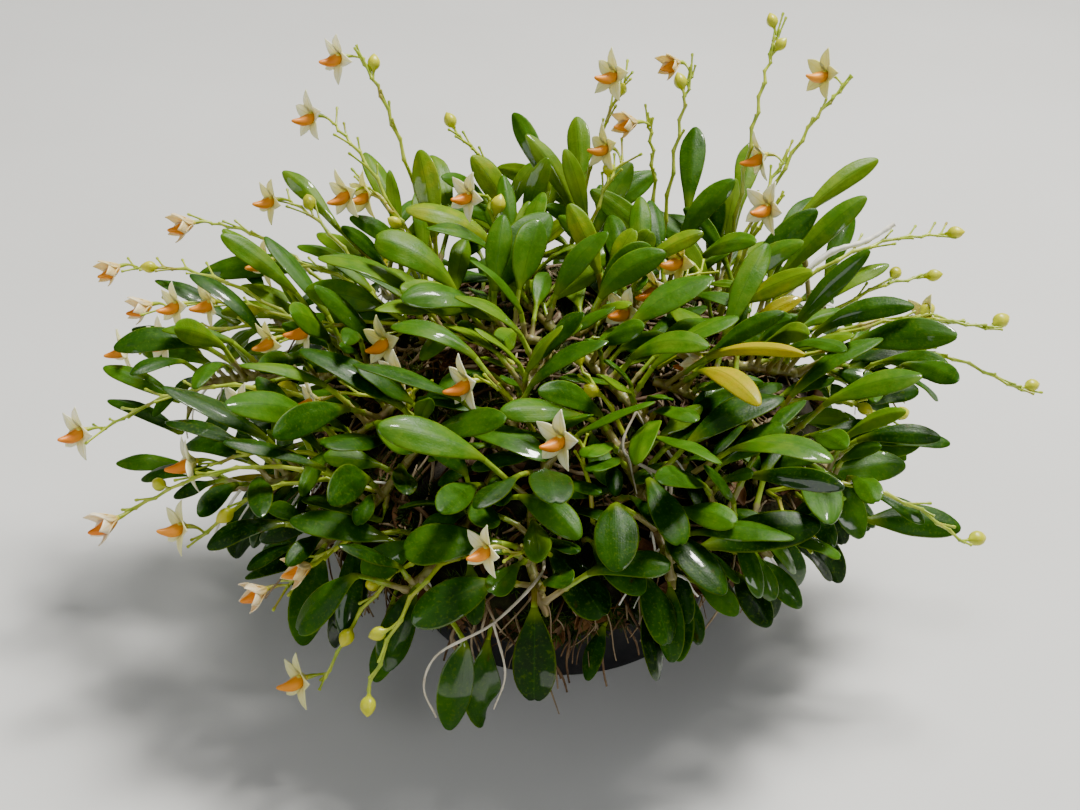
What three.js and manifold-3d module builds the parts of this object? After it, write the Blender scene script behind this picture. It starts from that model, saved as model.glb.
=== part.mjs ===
// A creeping miniature orchid in its pot: a low plastic pan full of bark, a mound of moss and old roots
// that spills over the rim, and the rhizomes that creep over the mound with their leaves and flower sprays.
// Millimetres, +Z up. The origin is the middle of the pot's base, and the front of the plant is at -Y.

import * as THREE from 'three'
import * as BufferGeometryUtils from 'three/addons/utils/BufferGeometryUtils.js'
import Module from 'manifold-3d'

const wasm = await Module()
wasm.setup()

// Pot
const POT_HEIGHT = 40
const RIM_RADIUS = 41
const RIM_BAND = 8
const RIM_PROUD = 1.6
const BASE_RADIUS = 30
const POT_WALL = 1.8
const POT_FLOOR = 3
const POT_SIDES = 24
const POT_CHAMFER = 0.8
const HOLE_RADIUS = 2.6
const HOLE_SIDES = 8
const HOLE_RING = 15
const HOLE_COUNT = 4
const SEAT_GAP = 0.3
const FOOT_GAP = 0.5

// Mound of moss, bark and roots
const MOUND_TOP = 58
const MOUND_RADIUS = 51
const MOUND_SHOULDER = 48
const MOUND_DROP = 13
const MOUND_TILT = 0.12
const MOUND_SIDES = 30
const MOUND_RINGS = [16, 29, 39, 48]
const RELIEF = 0.5
const EDGE_WAVE = 1.5
const EDGE_DROP = 3
const UNDER_DROP = 6
const OVER_RIM = 43.5

// Rhizomes
const RHIZOME_RADIUS = 1.1
const RHIZOME_STEP = 8
const CREEP_GAP = 0.6

// Leaves
const STEM_RADIUS = 0.62
const LEAF_THICKNESS = 0.95
const LEAF_KEEL = 0.1
// how far along the blade, and how wide there as a share of its greatest width
const BLADE_OUTLINE = [[0.34, 0.62], [0.67, 1], [0.9, 0.74]]
const TOWARDS_LIGHT = new THREE.Vector3(0.15, -0.5, 1)
const LEAN_IN = 0.35

// Flowers
const STALK_RADIUS = 0.55
const TEPAL_LENGTH = 4.3
const TEPAL_WIDTH = 1.9
const FLOWER_DEPTH = 1.3
const DISC_RADIUS = 0.95
const LIP_LENGTH = 4.6
const LIP_HALF_WIDTH = 0.95
const LIP_HALF_HEIGHT = 0.5
const LIP_LIFT = 0.8
const PEDICEL_LENGTH = 4.2
const BUD_LENGTH = 4
const BUD_RADIUS = 1.2
const BUD_FOOT = 0.4
const STALK_ARCH = 0.27
const STALK_STEPS = 4

const UP = new THREE.Vector3(0, 0, 1)
const SMALLEST_EDGE = 0.02
const radians = THREE.MathUtils.degToRad
const at = (x, y, z) => new THREE.Vector3(x, y, z)

// Seeded draw from 0 to 1
let drawState = 20
function draw() {
  drawState = (Math.imul(drawState, 1664525) + 1013904223) >>> 0
  return drawState / 4294967296
}
const drawBetween = (low, high) => low + (high - low) * draw()

// Solids from rings

function solidOf(points, faces) {
  let volume = 0
  for (const [a, b, c] of faces) {
    volume += points[a].dot(points[b].clone().cross(points[c]))
  }
  const vertProperties = new Float32Array(points.flatMap((point) => [point.x, point.y, point.z]))
  const turned = volume < 0 ? faces.map(([a, b, c]) => [a, c, b]) : faces
  const triVerts = new Uint32Array(turned.flat())
  return new wasm.Manifold(new wasm.Mesh({ numProp: 3, vertProperties, triVerts }))
}

// A solid through rings of equal count. An end that is a single point closes to that point.
// The diagonals of a leaf's upper and lower faces run alike, because both start at the blade's edges.
function loft(rings, edgesFirst = false) {
  const points = rings.flat()
  const starts = []
  let count = 0
  for (const ring of rings) {
    starts.push(count)
    count += ring.length
  }
  const faces = []
  for (let level = 0; level + 1 < rings.length; level += 1) {
    const [low, high] = [starts[level], starts[level + 1]]
    const sides = Math.max(rings[level].length, rings[level + 1].length)
    for (let side = 0; side < sides; side += 1) {
      const next = (side + 1) % sides
      if (rings[level].length === 1) {
        faces.push([low, high + next, high + side])
      } else if (rings[level + 1].length === 1) {
        faces.push([low + side, low + next, high])
      } else if (edgesFirst && side % 2 === 0) {
        faces.push([low + side, low + next, high + next], [low + side, high + next, high + side])
      } else {
        faces.push([low + side, low + next, high + side], [low + next, high + next, high + side])
      }
    }
  }
  for (const [level, order] of [[0, 1], [rings.length - 1, -1]]) {
    for (let side = 1; side + 1 < rings[level].length; side += 1) {
      const cap = [starts[level], starts[level] + side + 1, starts[level] + side]
      faces.push(order > 0 ? cap : cap.reverse())
    }
  }
  return solidOf(points, faces)
}

// Two unit vectors across a direction: the first is level, the second points upwards
function across(direction) {
  const level = Math.abs(direction.z) > 0.99 ? at(1, 0, 0) : direction.clone().cross(UP).normalize()
  return [level, level.clone().cross(direction).normalize()]
}

// The axis that a path runs along least, so that the rings along it never flip over
function leastAxis(path) {
  const run = path.at(-1).clone().sub(path[0])
  const [x, y, z] = [Math.abs(run.x), Math.abs(run.y), Math.abs(run.z)]
  if (x <= y && x <= z) return at(1, 0, 0)
  return y <= z ? at(0, 1, 0) : at(0, 0, 1)
}

function tube(path, radii, sides) {
  const reference = leastAxis(path)
  const rings = path.map((point, index) => {
    const before = path[Math.max(index - 1, 0)]
    const after = path[Math.min(index + 1, path.length - 1)]
    const along = after.clone().sub(before).normalize()
    const level = along.clone().cross(reference).normalize()
    const upward = level.clone().cross(along)
    return Array.from({ length: sides }, (_, side) => {
      const angle = (side / sides) * 2 * Math.PI
      return point.clone()
        .addScaledVector(level, Math.cos(angle) * radii[index])
        .addScaledVector(upward, Math.sin(angle) * radii[index])
    })
  })
  return loft(rings)
}

// Joins solids into one body. A hollow that the joining seals is filled, and a loose scrap is dropped.
function join(solids) {
  const whole = solids.slice(1).reduce((sum, solid) => sum.add(solid), solids[0])
  return whole.decompose()
    .reduce((largest, body) => (body.volume() > largest.volume() ? body : largest))
    .simplify(SMALLEST_EDGE)
}

function toGeometry(solid) {
  const { vertProperties, triVerts } = solid.getMesh()
  const geometry = new THREE.BufferGeometry()
  geometry.setAttribute('position', new THREE.BufferAttribute(new Float32Array(vertProperties), 3))
  geometry.setIndex(new THREE.BufferAttribute(new Uint32Array(triVerts), 1))
  return geometry
}

function toSolid(geometry) {
  const bare = geometry.clone()
  bare.deleteAttribute('normal')
  bare.deleteAttribute('uv')
  const merged = BufferGeometryUtils.mergeVertices(bare, 1e-4)
  return new wasm.Manifold(new wasm.Mesh({
    numProp: 3,
    vertProperties: new Float32Array(merged.attributes.position.array),
    triVerts: new Uint32Array(merged.index.array),
  }))
}

// Curves

// Quadratic curve from start to end, bent towards the control point
function bend(start, control, end, share) {
  const rest = 1 - share
  return at(0, 0, 0)
    .addScaledVector(start, rest * rest)
    .addScaledVector(control, 2 * rest * share)
    .addScaledVector(end, share * share)
}

const shares = (steps) => Array.from({ length: steps + 1 }, (_, step) => step / steps)

// Pot, turned about its axis, with drain holes round the middle of its floor

// Radius of the pot's outside below the band of its rim
const POT_FLARE = (RIM_RADIUS - RIM_PROUD - BASE_RADIUS) / POT_HEIGHT
const outer = (z) => BASE_RADIUS + POT_FLARE * z

function makePot() {
  const bandFoot = POT_HEIGHT - RIM_BAND
  const profile = [
    [0, 0],
    [BASE_RADIUS - POT_CHAMFER, 0],
    [outer(POT_CHAMFER), POT_CHAMFER],
    [outer(bandFoot), bandFoot],
    [RIM_RADIUS, bandFoot + POT_CHAMFER],
    [RIM_RADIUS, POT_HEIGHT - POT_CHAMFER],
    [RIM_RADIUS - POT_CHAMFER, POT_HEIGHT],
    [outer(POT_HEIGHT) - POT_WALL, POT_HEIGHT],
    [outer(POT_FLOOR) - POT_WALL, POT_FLOOR],
    [0, POT_FLOOR],
  ]
  const lathe = new THREE.LatheGeometry(profile.map(([r, z]) => new THREE.Vector2(r, z)), POT_SIDES)
  lathe.rotateX(Math.PI / 2)
  let pot = toSolid(lathe)
  for (let hole = 0; hole < HOLE_COUNT; hole += 1) {
    const angle = ((hole + 0.5) / HOLE_COUNT) * 2 * Math.PI
    const drill = new THREE.CylinderGeometry(HOLE_RADIUS, HOLE_RADIUS, POT_FLOOR * 3, HOLE_SIDES)
    drill.rotateX(Math.PI / 2)
    drill.translate(HOLE_RING * Math.cos(angle), HOLE_RING * Math.sin(angle), POT_FLOOR / 2)
    pot = pot.subtract(toSolid(drill))
  }
  return pot
}

// Bark mix, level with the rim
function makeMix() {
  const inner = (z) => outer(z) - POT_WALL - SEAT_GAP
  const floor = POT_FLOOR + SEAT_GAP
  const ring = (radius, z) => shares(POT_SIDES - 1).map((_, side) => {
    const angle = (side / POT_SIDES) * 2 * Math.PI
    return at(radius * Math.cos(angle), radius * Math.sin(angle), z)
  })
  return loft([
    [at(0, 0, floor)],
    ring(inner(floor), floor),
    ring(inner(POT_HEIGHT), POT_HEIGHT),
    [at(0, 0, POT_HEIGHT)],
  ])
}

// Height of the mound's surface: a dome, higher at the back, with a gentle relief
function moundHeight(x, y) {
  const share = Math.hypot(x, y) / MOUND_SHOULDER
  const relief = Math.sin(0.24 * x + 0.8) * Math.cos(0.21 * y) + Math.sin(0.17 * x - 0.23 * y)
  return MOUND_TOP - MOUND_DROP * share * share + MOUND_TILT * y + RELIEF * relief
}

const moundEdge = (angle) => MOUND_RADIUS + EDGE_WAVE * Math.sin(3 * angle + 1)

function makeMound() {
  const ring = (radiusOf, heightOf) => Array.from({ length: MOUND_SIDES }, (_, side) => {
    const angle = (side / MOUND_SIDES) * 2 * Math.PI
    const radius = radiusOf(angle)
    const [x, y] = [radius * Math.cos(angle), radius * Math.sin(angle)]
    return at(x, y, heightOf(x, y, angle))
  })
  const underside = POT_HEIGHT + SEAT_GAP
  const hang = (angle) => EDGE_DROP + 2 * Math.sin(4 * angle + 2)
  return loft([
    [at(0, 0, moundHeight(0, 0))],
    ...MOUND_RINGS.map((radius) => ring(() => radius, moundHeight)),
    ring(moundEdge, (x, y) => moundHeight(x, y) - EDGE_DROP),
    ring(
      (angle) => moundEdge(angle) - EDGE_WAVE,
      (x, y, angle) => moundHeight(x, y) - UNDER_DROP - hang(angle),
    ),
    ring(() => OVER_RIM, (x, y) => Math.min(underside - 1, moundHeight(x, y) - UNDER_DROP)),
    ring(() => OVER_RIM - 0.7, () => underside),
    [at(0, 0, underside)],
  ])
}

// Rhizomes: each creeps outwards over the mound and past its edge
// heading in degrees, start and end radius, rise of the free end, sideways drift in degrees
const RHIZOMES = [
  { heading: 35, from: 4, to: 28, rise: 0, drift: 14 },
  { heading: 105, from: 4, to: 30, rise: 0, drift: 12 },
  { heading: 170, from: 4, to: 29, rise: 0, drift: -12 },
  { heading: 240, from: 4, to: 57, rise: -0.4, drift: 8 },
  { heading: 311, from: 4, to: 58, rise: -0.25, drift: -3 },
  { heading: 3, from: 33, to: 66, rise: 0.05, drift: 6 },
  { heading: 24, from: 33, to: 62, rise: 0.25, drift: 6 },
  { heading: 51, from: 33, to: 58, rise: 0.3, drift: -6 },
  { heading: 78, from: 33, to: 56, rise: 0.3, drift: 6 },
  { heading: 105, from: 33, to: 56, rise: 0.3, drift: -6 },
  { heading: 131, from: 33, to: 60, rise: 0.25, drift: 6 },
  { heading: 155, from: 33, to: 68, rise: 0.1, drift: 5 },
  { heading: 176, from: 33, to: 74, rise: -0.05, drift: -4 },
  { heading: 199, from: 33, to: 66, rise: -0.25, drift: 5 },
  { heading: 219, from: 30, to: 60, rise: -0.45, drift: 4 },
  { heading: 268, from: 24, to: 56, rise: -0.5, drift: -6 },
  { heading: 290, from: 22, to: 56, rise: -0.3, drift: 3 },
  { heading: 333, from: 20, to: 62, rise: -0.15, drift: 6 },
]

function rhizomeBend(rhizome, share) {
  const radius = rhizome.from + (rhizome.to - rhizome.from) * share
  const angle = radians(rhizome.heading + rhizome.drift * Math.sin(3 * share))
  const held = Math.min(radius, MOUND_SHOULDER)
  const height = moundHeight(held * Math.cos(angle), held * Math.sin(angle))
  return at(
    radius * Math.cos(angle),
    radius * Math.sin(angle),
    height + RHIZOME_RADIUS + CREEP_GAP + rhizome.rise * (radius - held),
  )
}

const rhizomeSteps = ({ from, to }) => Math.round((to - from) / RHIZOME_STEP)
const rhizomePath = (rhizome) => (
  shares(rhizomeSteps(rhizome)).map((share) => rhizomeBend(rhizome, share))
)

// Point on a rhizome's axis, share from 0 at its old end to 1 at its growing tip
function rhizomePoint(rhizome, share) {
  const steps = rhizomeSteps(rhizome)
  const step = Math.min(Math.floor(share * steps), steps - 1)
  const before = rhizomeBend(rhizome, step / steps)
  return before.lerp(rhizomeBend(rhizome, (step + 1) / steps), share * steps - step)
}

// Leaves. A leaf is its foot on a rhizome, the neck where the stem turns into the blade, the blade's
// middle control point and its tip, with its width and its turn about its own length.

function bladeFrame(leaf, share) {
  const point = bend(leaf.neck, leaf.middle, leaf.tip, share)
  const before = leaf.middle.clone().sub(leaf.neck)
  const after = leaf.tip.clone().sub(leaf.middle)
  const along = before.multiplyScalar(1 - share).addScaledVector(after, share).normalize()
  const facing = TOWARDS_LIGHT.clone()
  const outward = Math.hypot(leaf.neck.x, leaf.neck.y)
  facing.x -= (LEAN_IN * leaf.neck.x) / outward
  facing.y -= (LEAN_IN * leaf.neck.y) / outward
  facing.addScaledVector(along, -facing.dot(along)).normalize()
  facing.applyAxisAngle(along, leaf.turn)
  return { point, side: facing.clone().cross(along), facing }
}

function leafRing(leaf, share, halfWidth, thickness, keel) {
  const { point, side, facing } = bladeFrame(leaf, share)
  const ridge = point.clone().addScaledVector(facing, -keel)
  return [
    point.clone().addScaledVector(side, -halfWidth),
    ridge.clone().addScaledVector(facing, thickness / 2),
    point.clone().addScaledVector(side, halfWidth),
    ridge.clone().addScaledVector(facing, -thickness / 2),
  ]
}

function makeLeaf(leaf) {
  const { side } = bladeFrame(leaf, 0)
  const stemAlong = leaf.neck.clone().sub(leaf.foot).normalize()
  const bladeAlong = leaf.middle.clone().sub(leaf.neck).normalize()
  const stemRing = (point, along) => {
    const level = side.clone().addScaledVector(along, -side.dot(along)).normalize()
    const upward = along.clone().cross(level)
    return [[-1, 0], [0, 1], [1, 0], [0, -1]].map(([u, v]) => (
      point.clone().addScaledVector(level, u * STEM_RADIUS).addScaledVector(upward, v * STEM_RADIUS)
    ))
  }
  return loft([
    stemRing(leaf.foot, stemAlong),
    stemRing(leaf.neck, stemAlong.clone().add(bladeAlong).normalize()),
    ...BLADE_OUTLINE.map(([share, width]) => (
      leafRing(leaf, share, (leaf.width * width) / 2, LEAF_THICKNESS, LEAF_KEEL * leaf.width * width)
    )),
    [leaf.tip],
  ], true)
}

// Flowers and buds. A flower's facing is the way its lip points.

// A flower in one closed skin: five tepals round a small disc, the lip that grows out of the disc's
// front, and the stalklet that runs from its back to a point inside the spray's stalk
const TEPAL_TURNS = [0, 1, 2, 3, 4].map((tepal) => Math.PI / 2 + (tepal * 2 * Math.PI) / 5)

// A place on a flower: outward along a tepal's direction, forward the way it faces, and sideways
function flowerPlace(centre, facing, turn, outward, forward, sideways = 0) {
  const [level, upward] = across(facing)
  return centre.clone()
    .addScaledVector(facing, forward)
    .addScaledVector(level, Math.cos(turn) * outward - Math.sin(turn) * sideways)
    .addScaledVector(upward, Math.sin(turn) * outward + Math.cos(turn) * sideways)
}

function makeFlower(root, centre, facing, spread) {
  const [level, upward] = across(facing)
  const place = (...where) => flowerPlace(centre, facing, ...where)
  const turns = TEPAL_TURNS
  const between = turns.map((turn) => turn - Math.PI / 5)
  const sine = Math.sin(spread)
  const cosine = Math.cos(spread)
  const half = TEPAL_WIDTH * 0.5 * (0.75 + 0.25 * sine)
  const belly = TEPAL_LENGTH * 0.5
  const front = between.map((turn) => place(turn, DISC_RADIUS, FLOWER_DEPTH * 0.4))
  const back = between.map((turn) => place(turn, DISC_RADIUS, -FLOWER_DEPTH * 0.6))
  const right = turns.map((turn) => place(turn, belly * sine, belly * cosine, -half))
  const left = turns.map((turn) => place(turn, belly * sine, belly * cosine, half))
  const tips = turns.map((turn) => place(turn, TEPAL_LENGTH * sine, TEPAL_LENGTH * cosine))
  const tongue = between.map((turn) => place(0, 0, LIP_LENGTH * 0.6)
    .addScaledVector(level, LIP_HALF_WIDTH * Math.cos(turn))
    .addScaledVector(upward, LIP_HALF_HEIGHT * Math.sin(turn)))
  const tongueTip = place(0, 0, LIP_LENGTH).addScaledVector(upward, LIP_LIFT)
  const points = [front, back, right, left, tips, tongue].flat().concat([tongueTip, root])
  const [FRONT, BACK, RIGHT, LEFT, TIPS, TONGUE] = [0, 5, 10, 15, 20, 25]
  const [TONGUE_TIP, ROOT] = [30, 31]
  const faces = []
  for (let here = 0; here < 5; here += 1) {
    const next = (here + 1) % 5
    faces.push(
      [FRONT + here, RIGHT + here, TIPS + here],
      [FRONT + here, TIPS + here, FRONT + next],
      [FRONT + next, TIPS + here, LEFT + here],
      [BACK + here, TIPS + here, RIGHT + here],
      [BACK + here, BACK + next, TIPS + here],
      [BACK + next, LEFT + here, TIPS + here],
      [FRONT + here, BACK + here, RIGHT + here],
      [FRONT + next, LEFT + here, BACK + next],
      [FRONT + here, FRONT + next, TONGUE + next],
      [FRONT + here, TONGUE + next, TONGUE + here],
      [TONGUE + here, TONGUE + next, TONGUE_TIP],
      [BACK + here, ROOT, BACK + next],
    )
  }
  return solidOf(points, faces)
}

// A bud with its stalklet, which ends in a point inside the spray's stalk
function makeBud(root, base, along) {
  const [level, upward] = across(along)
  const ring = (share, radius) => [0, 1, 2, 3].map((side) => {
    const angle = (side * Math.PI) / 2
    return base.clone()
      .addScaledVector(along, share * BUD_LENGTH)
      .addScaledVector(level, radius * Math.cos(angle))
      .addScaledVector(upward, radius * Math.sin(angle))
  })
  return loft([
    [root],
    ring(0, BUD_FOOT),
    ring(0.4, BUD_RADIUS),
    [base.clone().addScaledVector(along, BUD_LENGTH)],
  ])
}

// Flower sprays, placed one by one as they stand. Each grows from a foot on the mound, given as an
// azimuth in degrees and a radius. Each of its stalks ends at a tip and carries, from the tip back,
// F an open flower, H a half-closed one and B a bud.
const SPRAYS = [
  { foot: [125, 44], stalks: [{ tip: [-41, 48, 100], bears: 'FB' }] },
  { foot: [133, 40], stalks: [{ tip: [-47, 42, 88], bears: 'F' }] },
  { foot: [137, 30], stalks: [{ tip: [-40, 30, 79], bears: 'FFB' }] },
  { foot: [145, 44], stalks: [{ tip: [-57, 40, 71], bears: 'FB' }] },
  { foot: [149, 48], stalks: [{ tip: [-75, 42, 65], bears: 'H' }] },
  { foot: [161, 49], stalks: [{ tip: [-90, 32, 59], bears: 'HB' }] },
  { foot: [152, 35], stalks: [{ tip: [-57, 28, 62], bears: 'F' }] },
  {
    foot: [164, 43],
    stalks: [{ tip: [-82, 22, 55], bears: 'HFFB' }, { tip: [-85, 14, 50], bears: 'FF' }],
  },
  { foot: [168, 22], stalks: [{ tip: [-53, 4, 58], bears: 'FF' }] },
  { foot: [205, 10], stalks: [{ tip: [-31, 0, 62], bears: 'F' }] },
  { foot: [215, 30], stalks: [{ tip: [-43, -12, 55], bears: 'F' }] },
  { foot: [184, 44], stalks: [{ tip: [-58, -6, 50], bears: 'FB' }] },
  { foot: [210, 44], stalks: [{ tip: [-65, -24, 47], bears: 'F' }] },
  { foot: [187, 49], stalks: [{ tip: [-93, -6, 43], bears: 'F' }] },
  { foot: [216, 47], stalks: [{ tip: [-68, -28, 37], bears: 'FB' }, { tip: [-83, -24, 37], bears: 'HB' }] },
  { foot: [236, 48], stalks: [{ tip: [-50, -44, 33], bears: 'HHBB' }] },
  { foot: [246, 49], stalks: [{ tip: [-42, -52, 18], bears: 'FBB' }, { tip: [-33, -62, 25], bears: 'BB' }] },
  { foot: [206, 34], stalks: [{ tip: [-26, -12, 58], bears: 'FB' }] },
  { foot: [250, 20], stalks: [{ tip: [-15, -24, 62], bears: 'F' }] },
  { foot: [278, 40], stalks: [{ tip: [3, -36, 60], bears: 'F' }] },
  { foot: [268, 46], stalks: [{ tip: [-9, -56, 50], bears: 'FB' }] },
  { foot: [296, 24], stalks: [{ tip: [3, -18, 64], bears: 'BB' }] },
  { foot: [351, 19], stalks: [{ tip: [31, -4, 59], bears: 'HB' }] },
  { foot: [14, 24], stalks: [{ tip: [27, 14, 66], bears: 'FFF' }] },
  { foot: [37, 42], stalks: [{ tip: [47, 40, 80], bears: 'F' }, { tip: [44, 28, 75], bears: 'F' }] },
  { foot: [88, 44], stalks: [{ tip: [14, 46, 96], bears: 'FB' }] },
  { foot: [61, 44], stalks: [{ tip: [28, 54, 94], bears: 'HB' }, { tip: [19, 46, 86], bears: 'H' }] },
  { foot: [84, 28], stalks: [{ tip: [13, 36, 82], bears: 'FB' }] },
  { foot: [44, 47], stalks: [{ tip: [47, 58, 101], bears: 'BB' }, { tip: [61, 52, 92], bears: 'F' }] },
  { foot: [118, 20], stalks: [{ tip: [-15, 24, 80], bears: 'FB' }] },
  { foot: [12, 44], stalks: [{ tip: [80, 14, 56], bears: 'FB' }, { tip: [86, 8, 58], bears: 'B' }] },
  { foot: [29, 44], stalks: [{ tip: [80, 30, 67], bears: 'B' }] },
  { foot: [16, 49], stalks: [{ tip: [75, 26, 60], bears: 'BB' }, { tip: [93, 4, 46], bears: 'B' }] },
  { foot: [349, 40], stalks: [{ tip: [64, -10, 48], bears: 'BB' }] },
  { foot: [325, 47], stalks: [{ tip: [75, -34, 36], bears: 'B' }, { tip: [42, -40, 42], bears: 'B' }] },
  { foot: [98, 43], stalks: [{ tip: [-21, 46, 84], bears: 'B' }] },
]

// Where a stalk's flowers and buds sit, counted back from its tip, and how they face
const BLOOM_SPACING = 7.5
const LAST_BLOOM = 0.6
const FACING_HEADING = 200
const FACING_SWING = 28
const SPREADS = { F: radians(78), H: radians(36) }

// Point on a stalk's axis, on the straight steps that its solid is made of
function stalkPoint({ foot, middle, tip }, share) {
  const step = Math.min(Math.floor(share * STALK_STEPS), STALK_STEPS - 1)
  const before = bend(foot, middle, tip, step / STALK_STEPS)
  return before.lerp(bend(foot, middle, tip, (step + 1) / STALK_STEPS), share * STALK_STEPS - step)
}

function makeStalk(foot, row) {
  const tip = at(...row.tip)
  const reach = foot.distanceTo(tip)
  const middle = foot.clone().lerp(tip, 0.5)
  middle.z = Math.max(middle.z, foot.z) + STALK_ARCH * reach
  const stalk = { foot, middle, tip, reach, blooms: [] }
  const sway = draw() < 0.5 ? -1 : 1
  for (let index = 0; index < row.bears.length; index += 1) {
    const kind = row.bears[index]
    const share = 1 - (LAST_BLOOM + index * BLOOM_SPACING) / reach
    const from = stalkPoint(stalk, share)
    const along = tip.clone().sub(middle).normalize()
    const [level, upward] = across(along)
    const side = sway * (index % 2 === 0 ? 1 : -1)
    const heading = radians(FACING_HEADING + drawBetween(-FACING_SWING, FACING_SWING))
    const pitch = radians(drawBetween(-18, 14))
    const facing = at(
      Math.cos(heading) * Math.cos(pitch),
      Math.sin(heading) * Math.cos(pitch),
      Math.sin(pitch),
    )
    const away = kind === 'B'
      ? along.clone().addScaledVector(level, 0.7 * side).addScaledVector(upward, 0.3)
      : facing.clone().addScaledVector(along, 0.35).addScaledVector(across(facing)[0], 0.6 * side)
    away.addScaledVector(UP, 0.25).normalize()
    const length = kind === 'B' ? PEDICEL_LENGTH * 0.5 : PEDICEL_LENGTH
    const centre = from.clone().addScaledVector(away, length)
    stalk.blooms.push({ kind, from, away, facing, centre })
  }
  return stalk
}

// A spray with its foot and tips moved by a few millimetres
const TIP_SHIFT = 0.25

function makeSpray(row, shift) {
  const angle = radians(row.foot[0] + drawBetween(-shift, shift))
  const radius = Math.min(row.foot[1] + drawBetween(-shift, shift), MOUND_SHOULDER - 1)
  const [x, y] = [radius * Math.cos(angle), radius * Math.sin(angle)]
  const foot = at(x, y, moundHeight(x, y) + FOOT_GAP)
  return row.stalks.map((stalkRow) => {
    const tip = stalkRow.tip.map((value) => value + drawBetween(-TIP_SHIFT, TIP_SHIFT) * shift)
    return makeStalk(foot, { ...stalkRow, tip })
  })
}

function sprayPieces(spray) {
  const pieces = []
  for (const stalk of spray) {
    const path = shares(STALK_STEPS).map((share) => stalkPoint(stalk, share))
    const radii = path.map((_, step) => STALK_RADIUS * (1.15 - (0.4 * step) / STALK_STEPS))
    pieces.push(tube(path, radii, 3))
    for (const bloom of stalk.blooms) {
      pieces.push(bloom.kind === 'B'
        ? makeBud(bloom.from, bloom.centre, bloom.away)
        : makeFlower(bloom.from, bloom.centre, bloom.facing, SPREADS[bloom.kind]))
    }
  }
  return pieces
}

// Leaves placed one by one: those that make the plant's outline, and the ones that stand out inside it.
// Each is its neck, its tip and its width.
const OUTLINE_LEAVES = [
  [[-75, 6, 42], [-95, 12, 48], 6.5],
  [[-76, 0, 38], [-92, 5, 43], 6.5],
  [[-72, -10, 36], [-88, -9, 37], 6],
  [[-68, 26, 52], [-86, 30, 60], 6.5],
  [[-73, 17, 47], [-91, 21, 52], 6],
  [[-54, 30, 61], [-72, 35, 61], 7],
  [[-47, 39, 66], [-60, 48, 75], 6.5],
  [[-50, 22, 51], [-67, 28, 57], 6.5],
  [[-43, -34, 34], [-59, -37, 30], 6.5],
  [[-33, -38, 42], [-50, -33, 44], 8],
  [[-29, -50, 38], [-39, -54, 27], 7],
  [[-12, -54, 41], [-28, -58, 37], 7.5],
  [[-5, -57, 39], [-5, -62, 22], 7.5],
  [[-17, -59, 33], [-20, -65, 18], 7],
  [[-11, -49, 47], [-28, -50, 46], 8.5],
  [[-2, 46, 71], [-10, 59, 83], 6],
  [[5, 48, 69], [4, 62, 81], 6.5],
  [[-34, 40, 65], [-42, 54, 76], 6.5],
  [[-23, 42, 66], [-28, 57, 74], 6.5],
  [[28, 46, 66], [30, 61, 79], 7],
  [[39, 45, 67], [43, 60, 76], 7],
  [[50, 32, 71], [67, 41, 80], 6],
  [[48, 26, 65], [67, 34, 71], 7.5],
  [[52, 17, 55], [67, 25, 64], 7],
  [[58, -9, 42], [77, -8, 41], 5.5],
  [[47, -21, 41], [65, -19, 42], 7.5],
  [[58, -27, 36], [76, -27, 34], 7],
  [[9, -48, 55], [9, -61, 50], 9],
  [[15, -42, 56], [20, -55, 51], 7],
  [[18, -46, 47], [28, -57, 42], 7.5],
  [[14, -52, 43], [18, -61, 34], 7],
  [[21, -19, 53], [38, -15, 53], 7.5],
  [[54, 0, 46], [72, 2, 47], 7],
  [[56, 10, 50], [73, 14, 55], 7.5],
  [[-31, 9, 60], [-48, 15, 57], 8],
  [[-50, -21, 41], [-68, -20, 38], 7],
  [[44, 6, 52], [33, 12, 58], 6],
  [[38, 13, 55], [50, 18, 60], 5.5],
]

// Leaf feet that are taken, and how far apart they stay on a rhizome
const feet = []
const FOOT_SPACING = 1.9
const footIsFree = (foot) => feet.every((other) => other.distanceTo(foot) >= FOOT_SPACING)

// The stem comes from the free rhizome point that is nearest beyond a stem's length
const SHORTEST_STEM = 7
const ARCH = 0.14

function outlineLeaf([neckPlace, tipPlace, width], shift) {
  const moved = (place) => at(...place.map((value) => value + drawBetween(-shift, shift)))
  const neck = moved(neckPlace)
  const tip = moved(tipPlace)
  let best = { distance: Infinity }
  for (const rhizome of RHIZOMES) {
    for (const share of shares(20)) {
      const foot = rhizomePoint(rhizome, share)
      const distance = foot.distanceTo(neck)
      if (distance > SHORTEST_STEM && distance < best.distance && footIsFree(foot)) {
        best = { distance, foot, rhizome }
      }
    }
  }
  const middle = neck.clone().lerp(tip, 0.5)
  middle.z += ARCH * neck.distanceTo(tip)
  const turn = drawBetween(-0.3, 0.3)
  return { foot: best.foot, neck, middle, tip, width, turn, owner: best.rhizome.name }
}

// Leaves that fill the mound. They rise steeply near its middle and lie lower towards its edge.
const FILL_TRIES = 20000
const FILL_LEAVES = 126
const REACH = { left: 90, right: 80, back: 66, front: 62 }
const CEILING = 76
const CEILING_TILT = 0.22

function insideOutline(tip) {
  const wide = tip.x < 0 ? REACH.left : REACH.right
  const deep = tip.y < 0 ? REACH.front : REACH.back
  const share = Math.hypot(tip.x / wide, tip.y / deep)
  return share < 1 && tip.z < CEILING + CEILING_TILT * tip.y
}

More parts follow.
